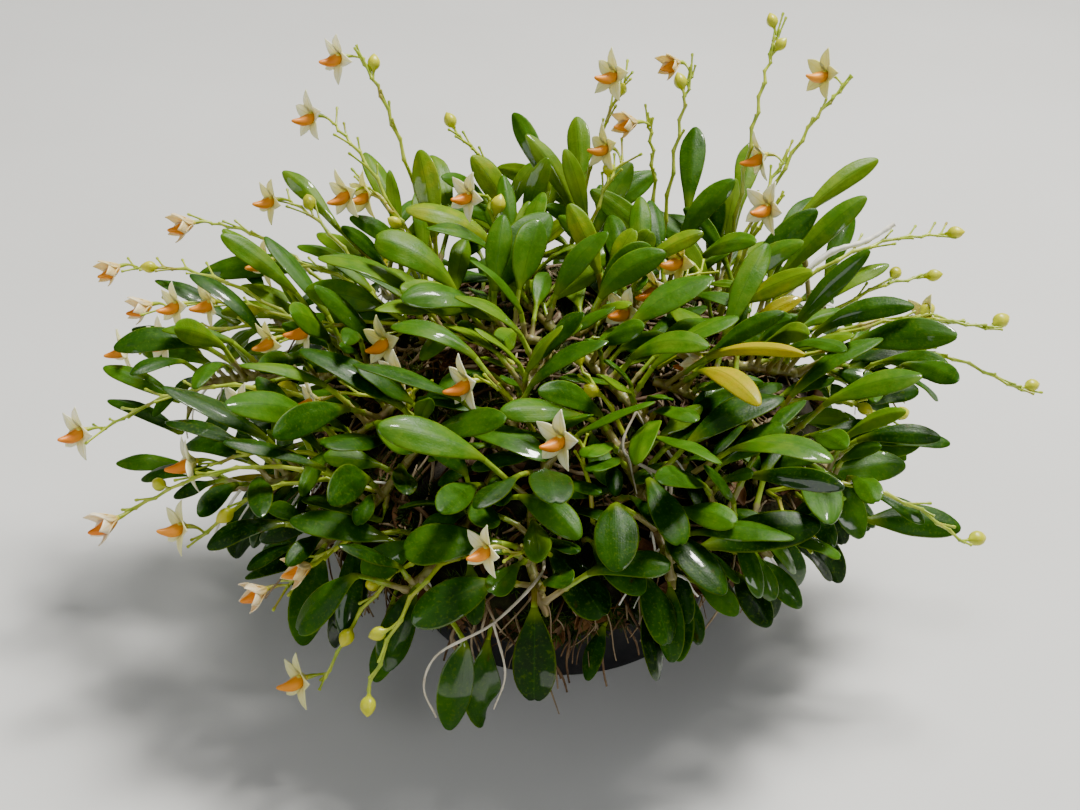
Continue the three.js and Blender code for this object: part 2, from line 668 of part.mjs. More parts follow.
function fillLeaf() {
  const rhizome = RHIZOMES[Math.floor(draw() * RHIZOMES.length)]
  const share = 0.05 + 0.93 * draw()
  const foot = rhizomePoint(rhizome, share)
  const ahead = rhizomePoint(rhizome, share + 0.05)
  const side = draw() < 0.5 ? -1 : 1
  const heading = Math.atan2(ahead.y - foot.y, ahead.x - foot.x) + side * drawBetween(0.1, 2)
  const steepness = 62 - 0.45 * Math.hypot(foot.x, foot.y) + 0.4 * foot.y
  const rise = radians(steepness + drawBetween(-18, 18))
  const curl = radians(drawBetween(15, 55))
  const towards = (pitch) => at(
    Math.cos(heading) * Math.cos(pitch),
    Math.sin(heading) * Math.cos(pitch),
    Math.sin(pitch),
  )
  const length = drawBetween(15, 23)
  const neck = foot.clone().addScaledVector(towards(rise + 0.2), drawBetween(6, 14))
  const middle = neck.clone().addScaledVector(towards(rise), length * 0.5)
  const tip = middle.clone().addScaledVector(towards(rise - curl), length * 0.5)
  const width = length * drawBetween(0.32, 0.4)
  return { foot, neck, middle, tip, width, turn: drawBetween(-0.5, 0.5), owner: rhizome.name }
}

// Roots

const HANGING_ROOTS = 12

// Brown roots that hang from the underside of the mound's edge, more of them at the front
function hangingRoot(index) {
  const angle = radians(-90 + 26 * (index - HANGING_ROOTS / 2) + drawBetween(-6, 6))
  const radius = moundEdge(angle) - 2
  const [east, north] = [Math.cos(angle), Math.sin(angle)]
  const start = at(radius * east, radius * north, moundHeight(radius * east, radius * north) - 7)
  const length = drawBetween(7, 13) + (north < 0 ? 3 : 0)
  const middle = at(start.x + 2.5 * east, start.y + 2.5 * north, start.z - length * 0.4)
  const end = at(middle.x - 1.5 * east, middle.y - 1.5 * north, start.z - length)
  return shares(2).map((share) => bend(start, middle, end, share))
}

// Pale aerial roots and the pale runner that hangs over the front edge
const PALE_ROOTS = {
  aerial_root: {
    radius: 0.75,
    foot: [24, 46],
    strands: [[[47, 23, 57], [56, 27, 64], [63, 28, 66], [69, 30, 69]]],
  },
  runner: {
    radius: 0.85,
    foot: [266, 46],
    strands: [
      [[-4, -53, 43], [-12, -61, 39], [-22, -64, 34]],
      [[-12, -61, 39], [-10, -65, 31], [-12, -66, 24]],
      [[-22, -64, 34], [-24, -66, 29], [-22, -67, 23]],
    ],
  },
  bent_root: {
    radius: 0.6,
    foot: [299, 40],
    strands: [[[19, -37, 52], [11, -33, 56], [14, -27, 62]]],
  },
}

function paleRootPaths({ foot, strands }) {
  const angle = radians(foot[0])
  const [x, y] = [foot[1] * Math.cos(angle), foot[1] * Math.sin(angle)]
  const start = at(x, y, moundHeight(x, y) + 2 * FOOT_GAP)
  return strands.map((strand, index) => {
    const points = strand.map((place) => at(...place))
    const curve = new THREE.CatmullRomCurve3(index === 0 ? [start, ...points] : points)
    return shares(3 * points.length).map((share) => curve.getPoint(share))
  })
}

// Rooms: while places are chosen, a bunch of small spheres with an owner stands for each piece.
// Spheres of different owners keep apart, and those near a foot may touch others of their own owner.
const bunches = []
const BEAD = { blade: 1, stem: 1, rhizome: 1.5, stalk: 0.95, root: 1.1, disc: 1.7, tepal: 0.9, bud: 1.7 }
const BEAD_STEP = 2
const FOOT_REACH = 4.5
const FLOOR_CLEAR = 2.5

function aboveMound({ point, size, nearFoot }) {
  const radius = Math.hypot(point.x, point.y)
  const angle = Math.atan2(point.y, point.x)
  if (point.z < FLOOR_CLEAR) return false
  if (nearFoot) return true
  if (radius > moundEdge(angle) + 1 + 0.5 * size) return true
  const held = Math.min(radius, MOUND_SHOULDER) / radius
  return point.z > moundHeight(point.x * held, point.y * held) + 0.75 + 0.3 * size
}

// A bunch with the sphere that holds it all, so that far ones are passed over quickly
function bunchOf(beads, owner) {
  const centre = at(0, 0, 0)
  for (const bead of beads) centre.addScaledVector(bead.point, 1 / beads.length)
  const radius = Math.max(...beads.map((bead) => bead.point.distanceTo(centre) + bead.size))
  return { beads, owner, centre, radius }
}

function apart(bunch, other) {
  if (bunch.centre.distanceTo(other.centre) > bunch.radius + other.radius) return true
  const sameOwner = bunch.owner === other.owner
  return bunch.beads.every((bead) => other.beads.every((neighbour) => {
    if (sameOwner && (bead.nearFoot || neighbour.nearFoot)) return true
    const gap = bead.size + neighbour.size
    return bead.point.distanceToSquared(neighbour.point) >= gap * gap
  }))
}

const hasRoom = (bunch) => bunch.beads.every(aboveMound) && bunches.every((other) => apart(bunch, other))

const beadsAlong = (path, size, foot) => path.map((point) => (
  { point, size, nearFoot: foot !== undefined && point.distanceTo(foot) < FOOT_REACH }
))

const STEM_BEADS = [0.2, 0.4, 0.6, 0.8, 1]
const BLADE_BEADS = [0.1, 0.2, 0.3, 0.4, 0.5, 0.6, 0.7, 0.8, 0.88, 0.96]
const ACROSS_BEADS = [-0.4, -0.2, 0, 0.2, 0.4]

function leafBunch(leaf) {
  const stem = STEM_BEADS.map((share) => leaf.foot.clone().lerp(leaf.neck, share))
  const blade = []
  for (const share of BLADE_BEADS) {
    const { point, side } = bladeFrame(leaf, share)
    const wide = share < 0.3 || share > 0.9 ? 0.5 * leaf.width : leaf.width
    for (const sideways of ACROSS_BEADS) blade.push(point.clone().addScaledVector(side, sideways * wide))
  }
  const beads = [...beadsAlong(stem, BEAD.stem, leaf.foot), ...beadsAlong(blade, BEAD.blade, leaf.foot)]
  return bunchOf(beads, leaf.owner)
}

function bloomBeads({ kind, centre, facing, away }) {
  if (kind === 'B') return beadsAlong([centre.clone().addScaledVector(away, BUD_LENGTH * 0.45)], BEAD.bud)
  const spread = SPREADS[kind]
  const petals = TEPAL_TURNS.flatMap((turn) => [0.55, 0.95].map((share) => {
    const length = TEPAL_LENGTH * share
    return flowerPlace(centre, facing, turn, length * Math.sin(spread), length * Math.cos(spread))
  }))
  const tongue = [0.5, 1].map((share) => centre.clone().addScaledVector(facing, share * LIP_LENGTH))
  return [...beadsAlong([centre], BEAD.disc), ...beadsAlong([...petals, ...tongue], BEAD.tepal)]
}

function sprayBunch(stalks, owner) {
  const beads = stalks.flatMap((stalk) => {
    const steps = Math.round(stalk.reach / BEAD_STEP)
    const line = shares(steps).map((share) => stalkPoint(stalk, share))
    return [...beadsAlong(line, BEAD.stalk, stalk.foot), ...stalk.blooms.flatMap(bloomBeads)]
  })
  return bunchOf(beads, owner)
}

// Tries the place as it is given, and then places further and further off it
const PLACE_TRIES = 120

function findRoom(make, bunchFor, stride) {
  for (let attempt = 0; attempt < PLACE_TRIES; attempt += 1) {
    const item = make(attempt * stride)
    const bunch = bunchFor(item)
    if (hasRoom(bunch)) {
      bunches.push(bunch)
      return item
    }
  }
  return null
}

// The plant, from the mound outwards: roots and rhizomes first, then sprays, then leaves

const moundPieces = [makeMound()]
for (let index = 0; index < HANGING_ROOTS; index += 1) {
  const path = hangingRoot(index)
  moundPieces.push(tube(path, [0.7, 0.55, 0.35], 3))
  bunches.push(bunchOf(beadsAlong(path, BEAD.root), 'root_mound'))
}

const nodes = new Map()
for (const [name, root] of Object.entries(PALE_ROOTS)) {
  const paths = paleRootPaths(root)
  nodes.set(name, paths.map((path) => (
    tube(path, path.map((_, step) => root.radius * (1 - 0.4 * step / path.length)), 4)
  )))
  for (const path of paths) bunches.push(bunchOf(beadsAlong(path, BEAD.root), name))
}

const twoDigits = (index) => String(index + 1).padStart(2, '0')

RHIZOMES.forEach((rhizome, index) => {
  rhizome.name = `shoot_${twoDigits(index)}`
  const path = rhizomePath(rhizome)
  nodes.set(rhizome.name, [tube(path, path.map(() => RHIZOME_RADIUS), 4)])
  const steps = Math.round((rhizome.to - rhizome.from) / BEAD_STEP)
  const line = beadsAlong(shares(steps).map((share) => rhizomePoint(rhizome, share)), BEAD.rhizome)
  bunches.push(bunchOf(line.map((bead) => ({ ...bead, nearFoot: true })), rhizome.name))
})

SPRAYS.forEach((row, index) => {
  const name = `spray_${twoDigits(index)}`
  const spray = findRoom((shift) => makeSpray(row, shift), (stalks) => sprayBunch(stalks, name), 0.1)
  if (spray) nodes.set(name, sprayPieces(spray))
})

function addLeaf(leaf) {
  feet.push(leaf.foot)
  nodes.get(leaf.owner).push(makeLeaf(leaf))
}

for (const row of OUTLINE_LEAVES) {
  const leaf = findRoom((shift) => outlineLeaf(row, shift), leafBunch, 0.08)
  if (leaf) addLeaf(leaf)
}

let filled = 0
for (let attempt = 0; attempt < FILL_TRIES && filled < FILL_LEAVES; attempt += 1) {
  const leaf = fillLeaf()
  const bunch = leafBunch(leaf)
  if (insideOutline(leaf.tip) && footIsFree(leaf.foot) && hasRoom(bunch)) {
    bunches.push(bunch)
    addLeaf(leaf)
    filled += 1
  }
}

// Finishes and assembly

const finish = (color, roughness) => new THREE.MeshStandardMaterial({ color, roughness, metalness: 0 })
const FINISHES = {
  pot: finish(0x17181a, 0.45),
  mix: finish(0x3a2a1c, 0.95),
  mound: finish(0x4a3a22, 0.95),
  shoot: finish(0x3f8a1e, 0.32),
  spray: finish(0xe9e2b4, 0.5),
  root: finish(0xd8d2b8, 0.6),
}

const orchid = new THREE.Group()

function place(name, solids, material) {
  const mesh = new THREE.Mesh(toGeometry(join(solids)), material)
  mesh.name = name
  orchid.add(mesh)
}

place('pot', [makePot()], FINISHES.pot)
place('potting_mix', [makeMix()], FINISHES.mix)
place('root_mound', moundPieces, FINISHES.mound)
for (const [name, solids] of nodes) {
  const material = name.startsWith('shoot') ? FINISHES.shoot : FINISHES.spray
  place(name, solids, name in PALE_ROOTS ? FINISHES.root : material)
}

export default orchid
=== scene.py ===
# %% [markdown]
# # A potted creeping orchid
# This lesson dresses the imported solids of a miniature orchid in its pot. The solids say where every shoot,
# spray and root is. Each of them is replaced here by a finer piece in the same place: glossy leaves with a
# midrib, thin star flowers with an orange lip, zigzag stalks, a tangle of roots and a moulded pot. The model
# is in metres, and the sizes below are written in millimetres and scaled once.

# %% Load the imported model
import math
from types import SimpleNamespace

import bpy
import numpy as np
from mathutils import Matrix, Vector


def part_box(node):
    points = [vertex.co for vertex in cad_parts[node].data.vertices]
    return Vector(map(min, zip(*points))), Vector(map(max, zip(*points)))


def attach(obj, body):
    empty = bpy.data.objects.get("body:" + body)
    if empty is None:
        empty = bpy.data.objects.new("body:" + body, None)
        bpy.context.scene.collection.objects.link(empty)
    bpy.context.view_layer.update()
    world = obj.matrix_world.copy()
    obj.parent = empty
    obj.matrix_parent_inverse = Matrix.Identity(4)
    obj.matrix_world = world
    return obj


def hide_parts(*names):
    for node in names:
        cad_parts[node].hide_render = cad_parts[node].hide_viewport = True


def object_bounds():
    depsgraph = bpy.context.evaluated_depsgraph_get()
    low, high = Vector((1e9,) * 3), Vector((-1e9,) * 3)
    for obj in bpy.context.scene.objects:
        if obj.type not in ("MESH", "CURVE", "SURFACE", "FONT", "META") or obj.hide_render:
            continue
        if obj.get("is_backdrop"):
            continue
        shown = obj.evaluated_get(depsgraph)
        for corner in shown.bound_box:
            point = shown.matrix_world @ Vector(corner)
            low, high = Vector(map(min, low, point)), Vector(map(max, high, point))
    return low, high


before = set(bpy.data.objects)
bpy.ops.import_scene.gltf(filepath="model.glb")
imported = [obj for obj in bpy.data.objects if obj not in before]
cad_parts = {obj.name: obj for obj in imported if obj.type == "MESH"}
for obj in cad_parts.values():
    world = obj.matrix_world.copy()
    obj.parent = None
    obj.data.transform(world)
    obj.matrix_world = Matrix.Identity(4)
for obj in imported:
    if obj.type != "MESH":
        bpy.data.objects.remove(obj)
cad_low, cad_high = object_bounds()
MM = 0.001
print("nodes", len(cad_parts), "box in mm", [round(value / MM) for value in (*cad_low, *cad_high)])

# %% [markdown]
# ## Camera
# The photo looks down on the plant at about 32 degrees, from about a third of a metre, and the camera is
# set to match it first. A Track To constraint would aim it too, but a plain rotation keeps the camera free of
# other objects.

# %% Camera at the photo's angle
CAMERA_ELEVATION = math.radians(32)
CAMERA_DISTANCE = 340
CAMERA_TARGET = Vector((-4, 0, 45))
FOCAL_PIXELS = 1700
PICTURE_WIDTH = 1080
SENSOR_WIDTH = 36

camera_back = Vector((0, -math.cos(CAMERA_ELEVATION), math.sin(CAMERA_ELEVATION)))
bpy.ops.object.camera_add(location=(CAMERA_TARGET + camera_back * CAMERA_DISTANCE) * MM)
camera = bpy.context.object
camera.name = "photo_camera"
camera.rotation_euler = (-camera_back).to_track_quat("-Z", "Y").to_euler()
camera.data.sensor_width = SENSOR_WIDTH
camera.data.lens = FOCAL_PIXELS / PICTURE_WIDTH * SENSOR_WIDTH
camera.data.clip_start = 0.01
camera.data.clip_end = 100
bpy.context.scene.camera = camera
print("camera lens", round(camera.data.lens, 1), "mm")

# %% [markdown]
# ## Helpers for materials
# Every material here is a small tree of shader nodes. The Shader Editor would show the same trees. Each
# helper adds one node, sets or links its inputs, and returns the output that the next node takes.

# %% Helpers for materials
def new_material(name):
    material = bpy.data.materials.new(name)
    material.use_nodes = True
    return material, material.node_tree


def plug(tree, node, inputs):
    """Give inputs of a node, by name or number, a number, a colour or another node's output."""
    for name, value in inputs.items():
        socket = node.inputs[name]
        if isinstance(value, bpy.types.NodeSocket):
            tree.links.new(value, socket)
        else:
            socket.default_value = (*value, 1) if socket.type == "RGBA" else value


def add_node(tree, kind, inputs, **settings):
    node = tree.nodes.new("ShaderNode" + kind)
    for name, value in settings.items():
        setattr(node, name, value)
    plug(tree, node, inputs)
    return node


def set_shader(tree, inputs):
    plug(tree, tree.nodes["Principled BSDF"], inputs)


def noise_of(tree, scale, detail, roughness):
    place = add_node(tree, "TexCoord", {}).outputs["Object"]
    inputs = {"Vector": place, "Scale": scale, "Detail": detail, "Roughness": roughness}
    return add_node(tree, "TexNoise", inputs).outputs["Fac"]


def ramp_of(tree, value, stops):
    """A colour ramp: each stop is a position and a linear red, green and blue."""
    node = add_node(tree, "ValToRGB", {"Fac": value})
    elements = node.color_ramp.elements
    while len(elements) < len(stops):
        elements.new(0.5)
    for element, (position, color) in zip(elements, stops):
        element.position = position
        element.color = (*color, 1)
    return node.outputs["Color"]


print("material helpers ready")

# %% [markdown]
# ## Floor and light
# A pale floor and soft lights show form without hard shadows. The photo's strongest light comes from above, a
# little to the right and behind, which makes the leaves shine and leaves the gaps between them dark. A wide
# soft sun and a softbox share that direction, and the fill from the front and left stays weak.

# %% Pale floor and soft lights
FLOOR_SIZE = 60
FLOOR_STOPS = [(0.3, (0.6, 0.6, 0.585)), (0.7, (0.64, 0.64, 0.63))]
SUN_DIRECTION = (-0.2, -0.19, -0.56)
SUN_STRENGTH = 4.5
SUN_SPREAD = 14
SKY_STRENGTH = 0.25
EXPOSURE = 0.3


def select_only(*pieces):
    """Select these pieces and nothing else, and make the first of them active."""
    bpy.ops.object.select_all(action="DESELECT")
    for piece in pieces:
        piece.select_set(True)
    if pieces:
        bpy.context.view_layer.objects.active = pieces[0]


def add_piece(add, name, **settings):
    """Add a primitive with nothing else selected, and name it."""
    select_only()
    add(**settings)
    piece = bpy.context.object
    piece.name = name
    return piece


def light_up(lamp, strength, color, direction):
    lamp.data.energy = strength
    lamp.data.color = color
    lamp.rotation_euler = Vector(direction).to_track_quat("-Z", "Y").to_euler()


def add_softbox(name, place_mm, size_mm, watts, color):
    lamp = add_piece(bpy.ops.object.light_add, name, type="AREA", location=Vector(place_mm) * MM)
    lamp.data.shape = "RECTANGLE"
    lamp.data.size, lamp.data.size_y = size_mm[0] * MM, size_mm[1] * MM
    light_up(lamp, watts, color, CAMERA_TARGET - Vector(place_mm))


floor_material, tree = new_material("pale_floor")
set_shader(tree, {"Base Color": ramp_of(tree, noise_of(tree, 9, 4, 0.5), FLOOR_STOPS), "Roughness": 0.75})
floor = add_piece(bpy.ops.mesh.primitive_plane_add, "floor", size=FLOOR_SIZE)
floor.data.materials.append(floor_material)
floor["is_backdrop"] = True

add_softbox("key_light", (200, 190, 560), (160, 160), 6, (1, 0.98, 0.92))
add_softbox("fill_light", (-520, -380, 380), (500, 400), 1.6, (0.97, 0.99, 1))
add_softbox("front_light", (300, -620, 460), (300, 240), 1.6, (1, 1, 1))
sun = add_piece(bpy.ops.object.light_add, "soft_sun", type="SUN", location=(0.2, 0.19, 1))
sun.data.angle = math.radians(SUN_SPREAD)
light_up(sun, SUN_STRENGTH, (1, 0.98, 0.93), SUN_DIRECTION)
world = bpy.context.scene.world or bpy.data.worlds.new("studio")
bpy.context.scene.world = world
world.use_nodes = True
sky = world.node_tree.nodes["Background"]
plug(world.node_tree, sky, {"Color": (0.96, 0.98, 1), "Strength": SKY_STRENGTH})
bpy.context.scene.view_settings.look = "AgX - Punchy"
bpy.context.scene.view_settings.exposure = EXPOSURE

# %% [markdown]
# ## The surface that everything grows on
# On the real plant the roots and moss have grown into a low dome that spills over the pot's rim. A dome
# could be sculpted, but a formula gives its height at any place, so that every later piece can ask for the
# ground under it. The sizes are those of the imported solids, in millimetres.

# %% The dome of moss and roots
POT_HEIGHT = 40
MOUND_TOP = 58
MOUND_RADIUS = 51
MOUND_SHOULDER = 48
MOUND_DROP = 13
MOUND_TILT = 0.12
RELIEF = 0.5
EDGE_WAVE = 1.5
FOOT_GAP = 0.5


def vec(*numbers):
    return np.array(numbers, dtype=float)


def mound_height(x, y):
    share = np.hypot(x, y) / MOUND_SHOULDER
    relief = np.sin(0.24 * x + 0.8) * np.cos(0.21 * y) + np.sin(0.17 * x - 0.23 * y)
    return MOUND_TOP - MOUND_DROP * share * share + MOUND_TILT * y + RELIEF * relief


def mound_edge(angle):
    return MOUND_RADIUS + EDGE_WAVE * np.sin(3 * angle + 1)


def on_mound(angle, radius, lift=0):
    x, y = radius * math.cos(angle), radius * math.sin(angle)
    return vec(x, y, mound_height(x, y) + lift)


print("mound height in the middle", round(float(mound_height(0, 0)), 2), "mm")

# %% [markdown]
# ## Draws and curves
# Leaves and flowers stand where a seeded draw puts them. Python's random module would do, but the solids
# were placed with this small generator, and the same draws in the same order give the same places. Each
# leaf and stalk is a quadratic curve, which needs only a start, an end and one point that it bends towards.

# %% A seeded draw and a few vector tools
UP = vec(0, 0, 1)
draw_state = 20


def draw():
    global draw_state
    draw_state = (draw_state * 1664525 + 1013904223) % 4294967296
    return draw_state / 4294967296


def draw_between(low, high):
    return low + (high - low) * draw()


def unit(vector):
    return vector / np.linalg.norm(vector, axis=-1, keepdims=True)


def bend(start, control, end, share):
    share = np.asarray(share, dtype=float)[..., None]
    rest = 1 - share
    return rest * rest * start + 2 * rest * share * control + share * share * end


def pointing(heading, pitch):
    return vec(math.cos(heading) * math.cos(pitch), math.sin(heading) * math.cos(pitch), math.sin(pitch))


def across(direction):
    level = vec(1, 0, 0) if abs(direction[2]) > 0.99 else unit(np.cross(direction, UP))
    return level, unit(np.cross(level, direction))


# %% [markdown]
# ## Rhizomes
# A creeping orchid grows along the ground: its rhizome runs outwards, and each leaf rises from it on a short
# stem. Every rhizome here runs from near the middle to beyond the edge of the dome, and drifts a little.

# %% The rhizomes' paths
RHIZOME_RADIUS = 1.1
RHIZOME_STEP = 8
CREEP_GAP = 0.6
# heading in degrees, start and end radius, rise of the free end, sideways drift in degrees
RHIZOMES = [
    (35, 4, 28, 0, 14),
    (105, 4, 30, 0, 12),
    (170, 4, 29, 0, -12),
    (240, 4, 57, -0.4, 8),
    (311, 4, 58, -0.25, -3),
    (3, 33, 66, 0.05, 6),
    (24, 33, 62, 0.25, 6),
    (51, 33, 58, 0.3, -6),
    (78, 33, 56, 0.3, 6),
    (105, 33, 56, 0.3, -6),
    (131, 33, 60, 0.25, 6),
    (155, 33, 68, 0.1, 5),
    (176, 33, 74, -0.05, -4),
    (199, 33, 66, -0.25, 5),
    (219, 30, 60, -0.45, 4),
    (268, 24, 56, -0.5, -6),
    (290, 22, 56, -0.3, 3),
    (333, 20, 62, -0.15, 6),
]


def rhizome_bend(rhizome, share):
    heading, start, end, rise, drift = RHIZOMES[rhizome]
    radius = start + (end - start) * share
    angle = math.radians(heading + drift * math.sin(3 * share))
    held = min(radius, MOUND_SHOULDER)
    height = mound_height(held * math.cos(angle), held * math.sin(angle))
    lift = RHIZOME_RADIUS + CREEP_GAP + rise * (radius - held)
    return vec(radius * math.cos(angle), radius * math.sin(angle), height + lift)


def rhizome_point(rhizome, share):
    _, start, end, _, _ = RHIZOMES[rhizome]
    steps = math.floor((end - start) / RHIZOME_STEP + 0.5)
    step = min(math.floor(share * steps), steps - 1)
    before = rhizome_bend(rhizome, step / steps)
    after = rhizome_bend(rhizome, (step + 1) / steps)
    return before + (after - before) * (share * steps - step)


def shoot_name(rhizome):
    return f"shoot_{rhizome + 1:02d}"


print(len(RHIZOMES), "rhizomes")

# %% [markdown]
# ## Room for every piece
# Nothing on a plant grows through its neighbour. A physics simulation could push the leaves apart, but it is
# slow and never ends twice the same. Here each piece is stood in for by a bunch of small spheres, a new piece
# is only placed where its spheres clear all the others, and pieces of one shoot may touch near their feet.

# %% Bunches of spheres that keep the pieces apart
BEAD = {
    "blade": 1, "stem": 1, "rhizome": 1.5, "stalk": 0.95,
    "root": 1.1, "disc": 1.7, "tepal": 0.9, "bud": 1.7,
}
BEAD_STEP = 2
FOOT_REACH = 4.5
FLOOR_CLEAR = 2.5
MOUND_CLEAR = 0.75
PLACE_TRIES = 120
bunches = []


def beads(points, size, foot=None):
    points = np.atleast_2d(points)
    near = np.zeros(len(points), bool)
    if foot is not None:
        near = np.linalg.norm(points - foot, axis=1) < FOOT_REACH
    return points, np.full(len(points), float(size)), near


def bunch_of(groups, owner):
    points, sizes, near = (np.concatenate(column) for column in zip(*groups))
    centre = points.mean(axis=0)
    radius = float(np.max(np.linalg.norm(points - centre, axis=1) + sizes))
    return SimpleNamespace(points=points, sizes=sizes, near=near, owner=owner, centre=centre, radius=radius)


def above_mound(bunch):
    x, y, z = bunch.points.T
    radius = np.hypot(x, y)
    beyond = radius > mound_edge(np.arctan2(y, x)) + 1 + 0.5 * bunch.sizes
    held = np.minimum(radius, MOUND_SHOULDER) / radius
    above = z > mound_height(x * held, y * held) + MOUND_CLEAR + 0.3 * bunch.sizes
    return bool(np.all((z >= FLOOR_CLEAR) & (bunch.near | beyond | above)))


def apart(bunch, other):
    steps = bunch.points[:, None] - other.points[None]
    gaps = bunch.sizes[:, None] + other.sizes[None]
    clear = np.einsum("ijk,ijk->ij", steps, steps) >= gaps * gaps
    if bunch.owner == other.owner:
        clear |= bunch.near[:, None] | other.near[None]
    return bool(clear.all())


def has_room(bunch):
    if not above_mound(bunch):
        return False
    gaps = np.linalg.norm(vec(*[other.centre for other in bunches]) - bunch.centre, axis=1)
    close = np.flatnonzero(gaps <= vec(*[other.radius for other in bunches]) + bunch.radius)
    return all(apart(bunch, bunches[index]) for index in close)


def find_room(make, bunch_for, stride):
    for attempt in range(PLACE_TRIES):
        item = make(attempt * stride)
        bunch = bunch_for(item)
        if has_room(bunch):
            bunches.append(bunch)
            return item
    return None


# %% [markdown]
# ## Roots that were there first
# Brown roots hang from the edge of the dome and pale ones reach into the air. They are placed before the
# shoots, so that leaves grow round them.

# %% Paths of the hanging and the pale roots
HANGING_ROOTS = 12
# each pale root's radius, the azimuth and distance of its foot, and the points of its strands
PALE_ROOTS = {
    "aerial_root": (0.75, (24, 46), [[(47, 23, 57), (56, 27, 64), (63, 28, 66), (69, 30, 69)]]),
    "runner": (0.85, (266, 46), [
        [(-4, -53, 43), (-12, -61, 39), (-22, -64, 34)],
        [(-12, -61, 39), (-10, -65, 31), (-12, -66, 24)],
        [(-22, -64, 34), (-24, -66, 29), (-22, -67, 23)],
    ]),
    "bent_root": (0.6, (299, 40), [[(19, -37, 52), (11, -33, 56), (14, -27, 62)]]),
}


def hanging_root(index):
    angle = math.radians(-90 + 26 * (index - HANGING_ROOTS / 2) + draw_between(-6, 6))
    east, north = math.cos(angle), math.sin(angle)
    start = on_mound(angle, mound_edge(angle) - 2, -7)
    length = draw_between(7, 13) + (3 if north < 0 else 0)
    middle = start + vec(2.5 * east, 2.5 * north, -length * 0.4)
    end = vec(middle[0] - 1.5 * east, middle[1] - 1.5 * north, start[2] - length)
    return start, middle, end


def smooth_point(points, share):
    """A point on the centripetal curve through these points."""
    last = len(points) - 1
    step = min(int(share * last), last - 1)
    part = share * last - step
    before = points[step - 1] if step > 0 else 2 * points[0] - points[1]
    start, end = points[step], points[step + 1]
    after = points[step + 2] if step + 2 <= last else 2 * points[last] - points[last - 1]
    spans = [float(np.sum((b - a) ** 2)) ** 0.25 for a, b in ((before, start), (start, end), (end, after))]
    first, middle, third = spans
    leave = (start - before) / first - (end - before) / (first + middle) + (end - start) / middle
    arrive = (end - start) / middle - (after - start) / (middle + third) + (after - end) / third
    leave, arrive = leave * middle, arrive * middle
    square = -3 * start + 3 * end - 2 * leave - arrive
    cube = 2 * start - 2 * end + leave + arrive
    return start + leave * part + square * part**2 + cube * part**3


def pale_root_curves(name):
    _, (azimuth, radius), table = PALE_ROOTS[name]
    strands = [[vec(*place) for place in strand] for strand in table]
    return [[on_mound(math.radians(azimuth), radius, 2 * FOOT_GAP), *strands[0]], *strands[1:]]


hanging_roots = [hanging_root(index) for index in range(HANGING_ROOTS)]
for start, middle, end in hanging_roots:
    bunches.append(bunch_of([beads(bend(start, middle, end, [0, 0.5, 1]), BEAD["root"])], "root_mound"))
for name, (_, _, table) in PALE_ROOTS.items():
    for strand, points in zip(table, pale_root_curves(name)):
        steps = 3 * len(strand)
        path = [smooth_point(points, step / steps) for step in range(steps + 1)]
        bunches.append(bunch_of([beads(path, BEAD["root"])], name))
for rhizome, (_, start, end, _, _) in enumerate(RHIZOMES):
    steps = math.floor((end - start) / BEAD_STEP + 0.5)
    path = [rhizome_point(rhizome, step / steps) for step in range(steps + 1)]
    points, sizes, _ = beads(path, BEAD["rhizome"])
    bunches.append(bunch_of([(points, sizes, np.ones(len(points), bool))], shoot_name(rhizome)))
print(len(hanging_roots), "hanging roots,", len(bunches), "bunches of spheres")

# %% [markdown]
# ## Flower sprays
# Each spray is a thin stalk that leans towards the light and the flowers sit near its tip, all of them facing
# about the same way. The photo shows where the tips are, so the sprays are a list of feet and tips, and the
# draws only vary how each flower turns.

# %% Where the sprays stand
STALK_STEPS = 4
STALK_ARCH = 0.27
TEPAL_LENGTH = 4.3
LIP_LENGTH = 4.6
PEDICEL_LENGTH = 4.2
BUD_LENGTH = 4
BLOOM_SPACING = 7.5
LAST_BLOOM = 0.6
FACING_HEADING = 200
FACING_SWING = 28
TIP_SHIFT = 0.25
SPREADS = {"F": math.radians(78), "H": math.radians(36)}
TEPAL_TURNS = [math.pi / 2 + tepal * 2 * math.pi / 5 for tepal in range(5)]
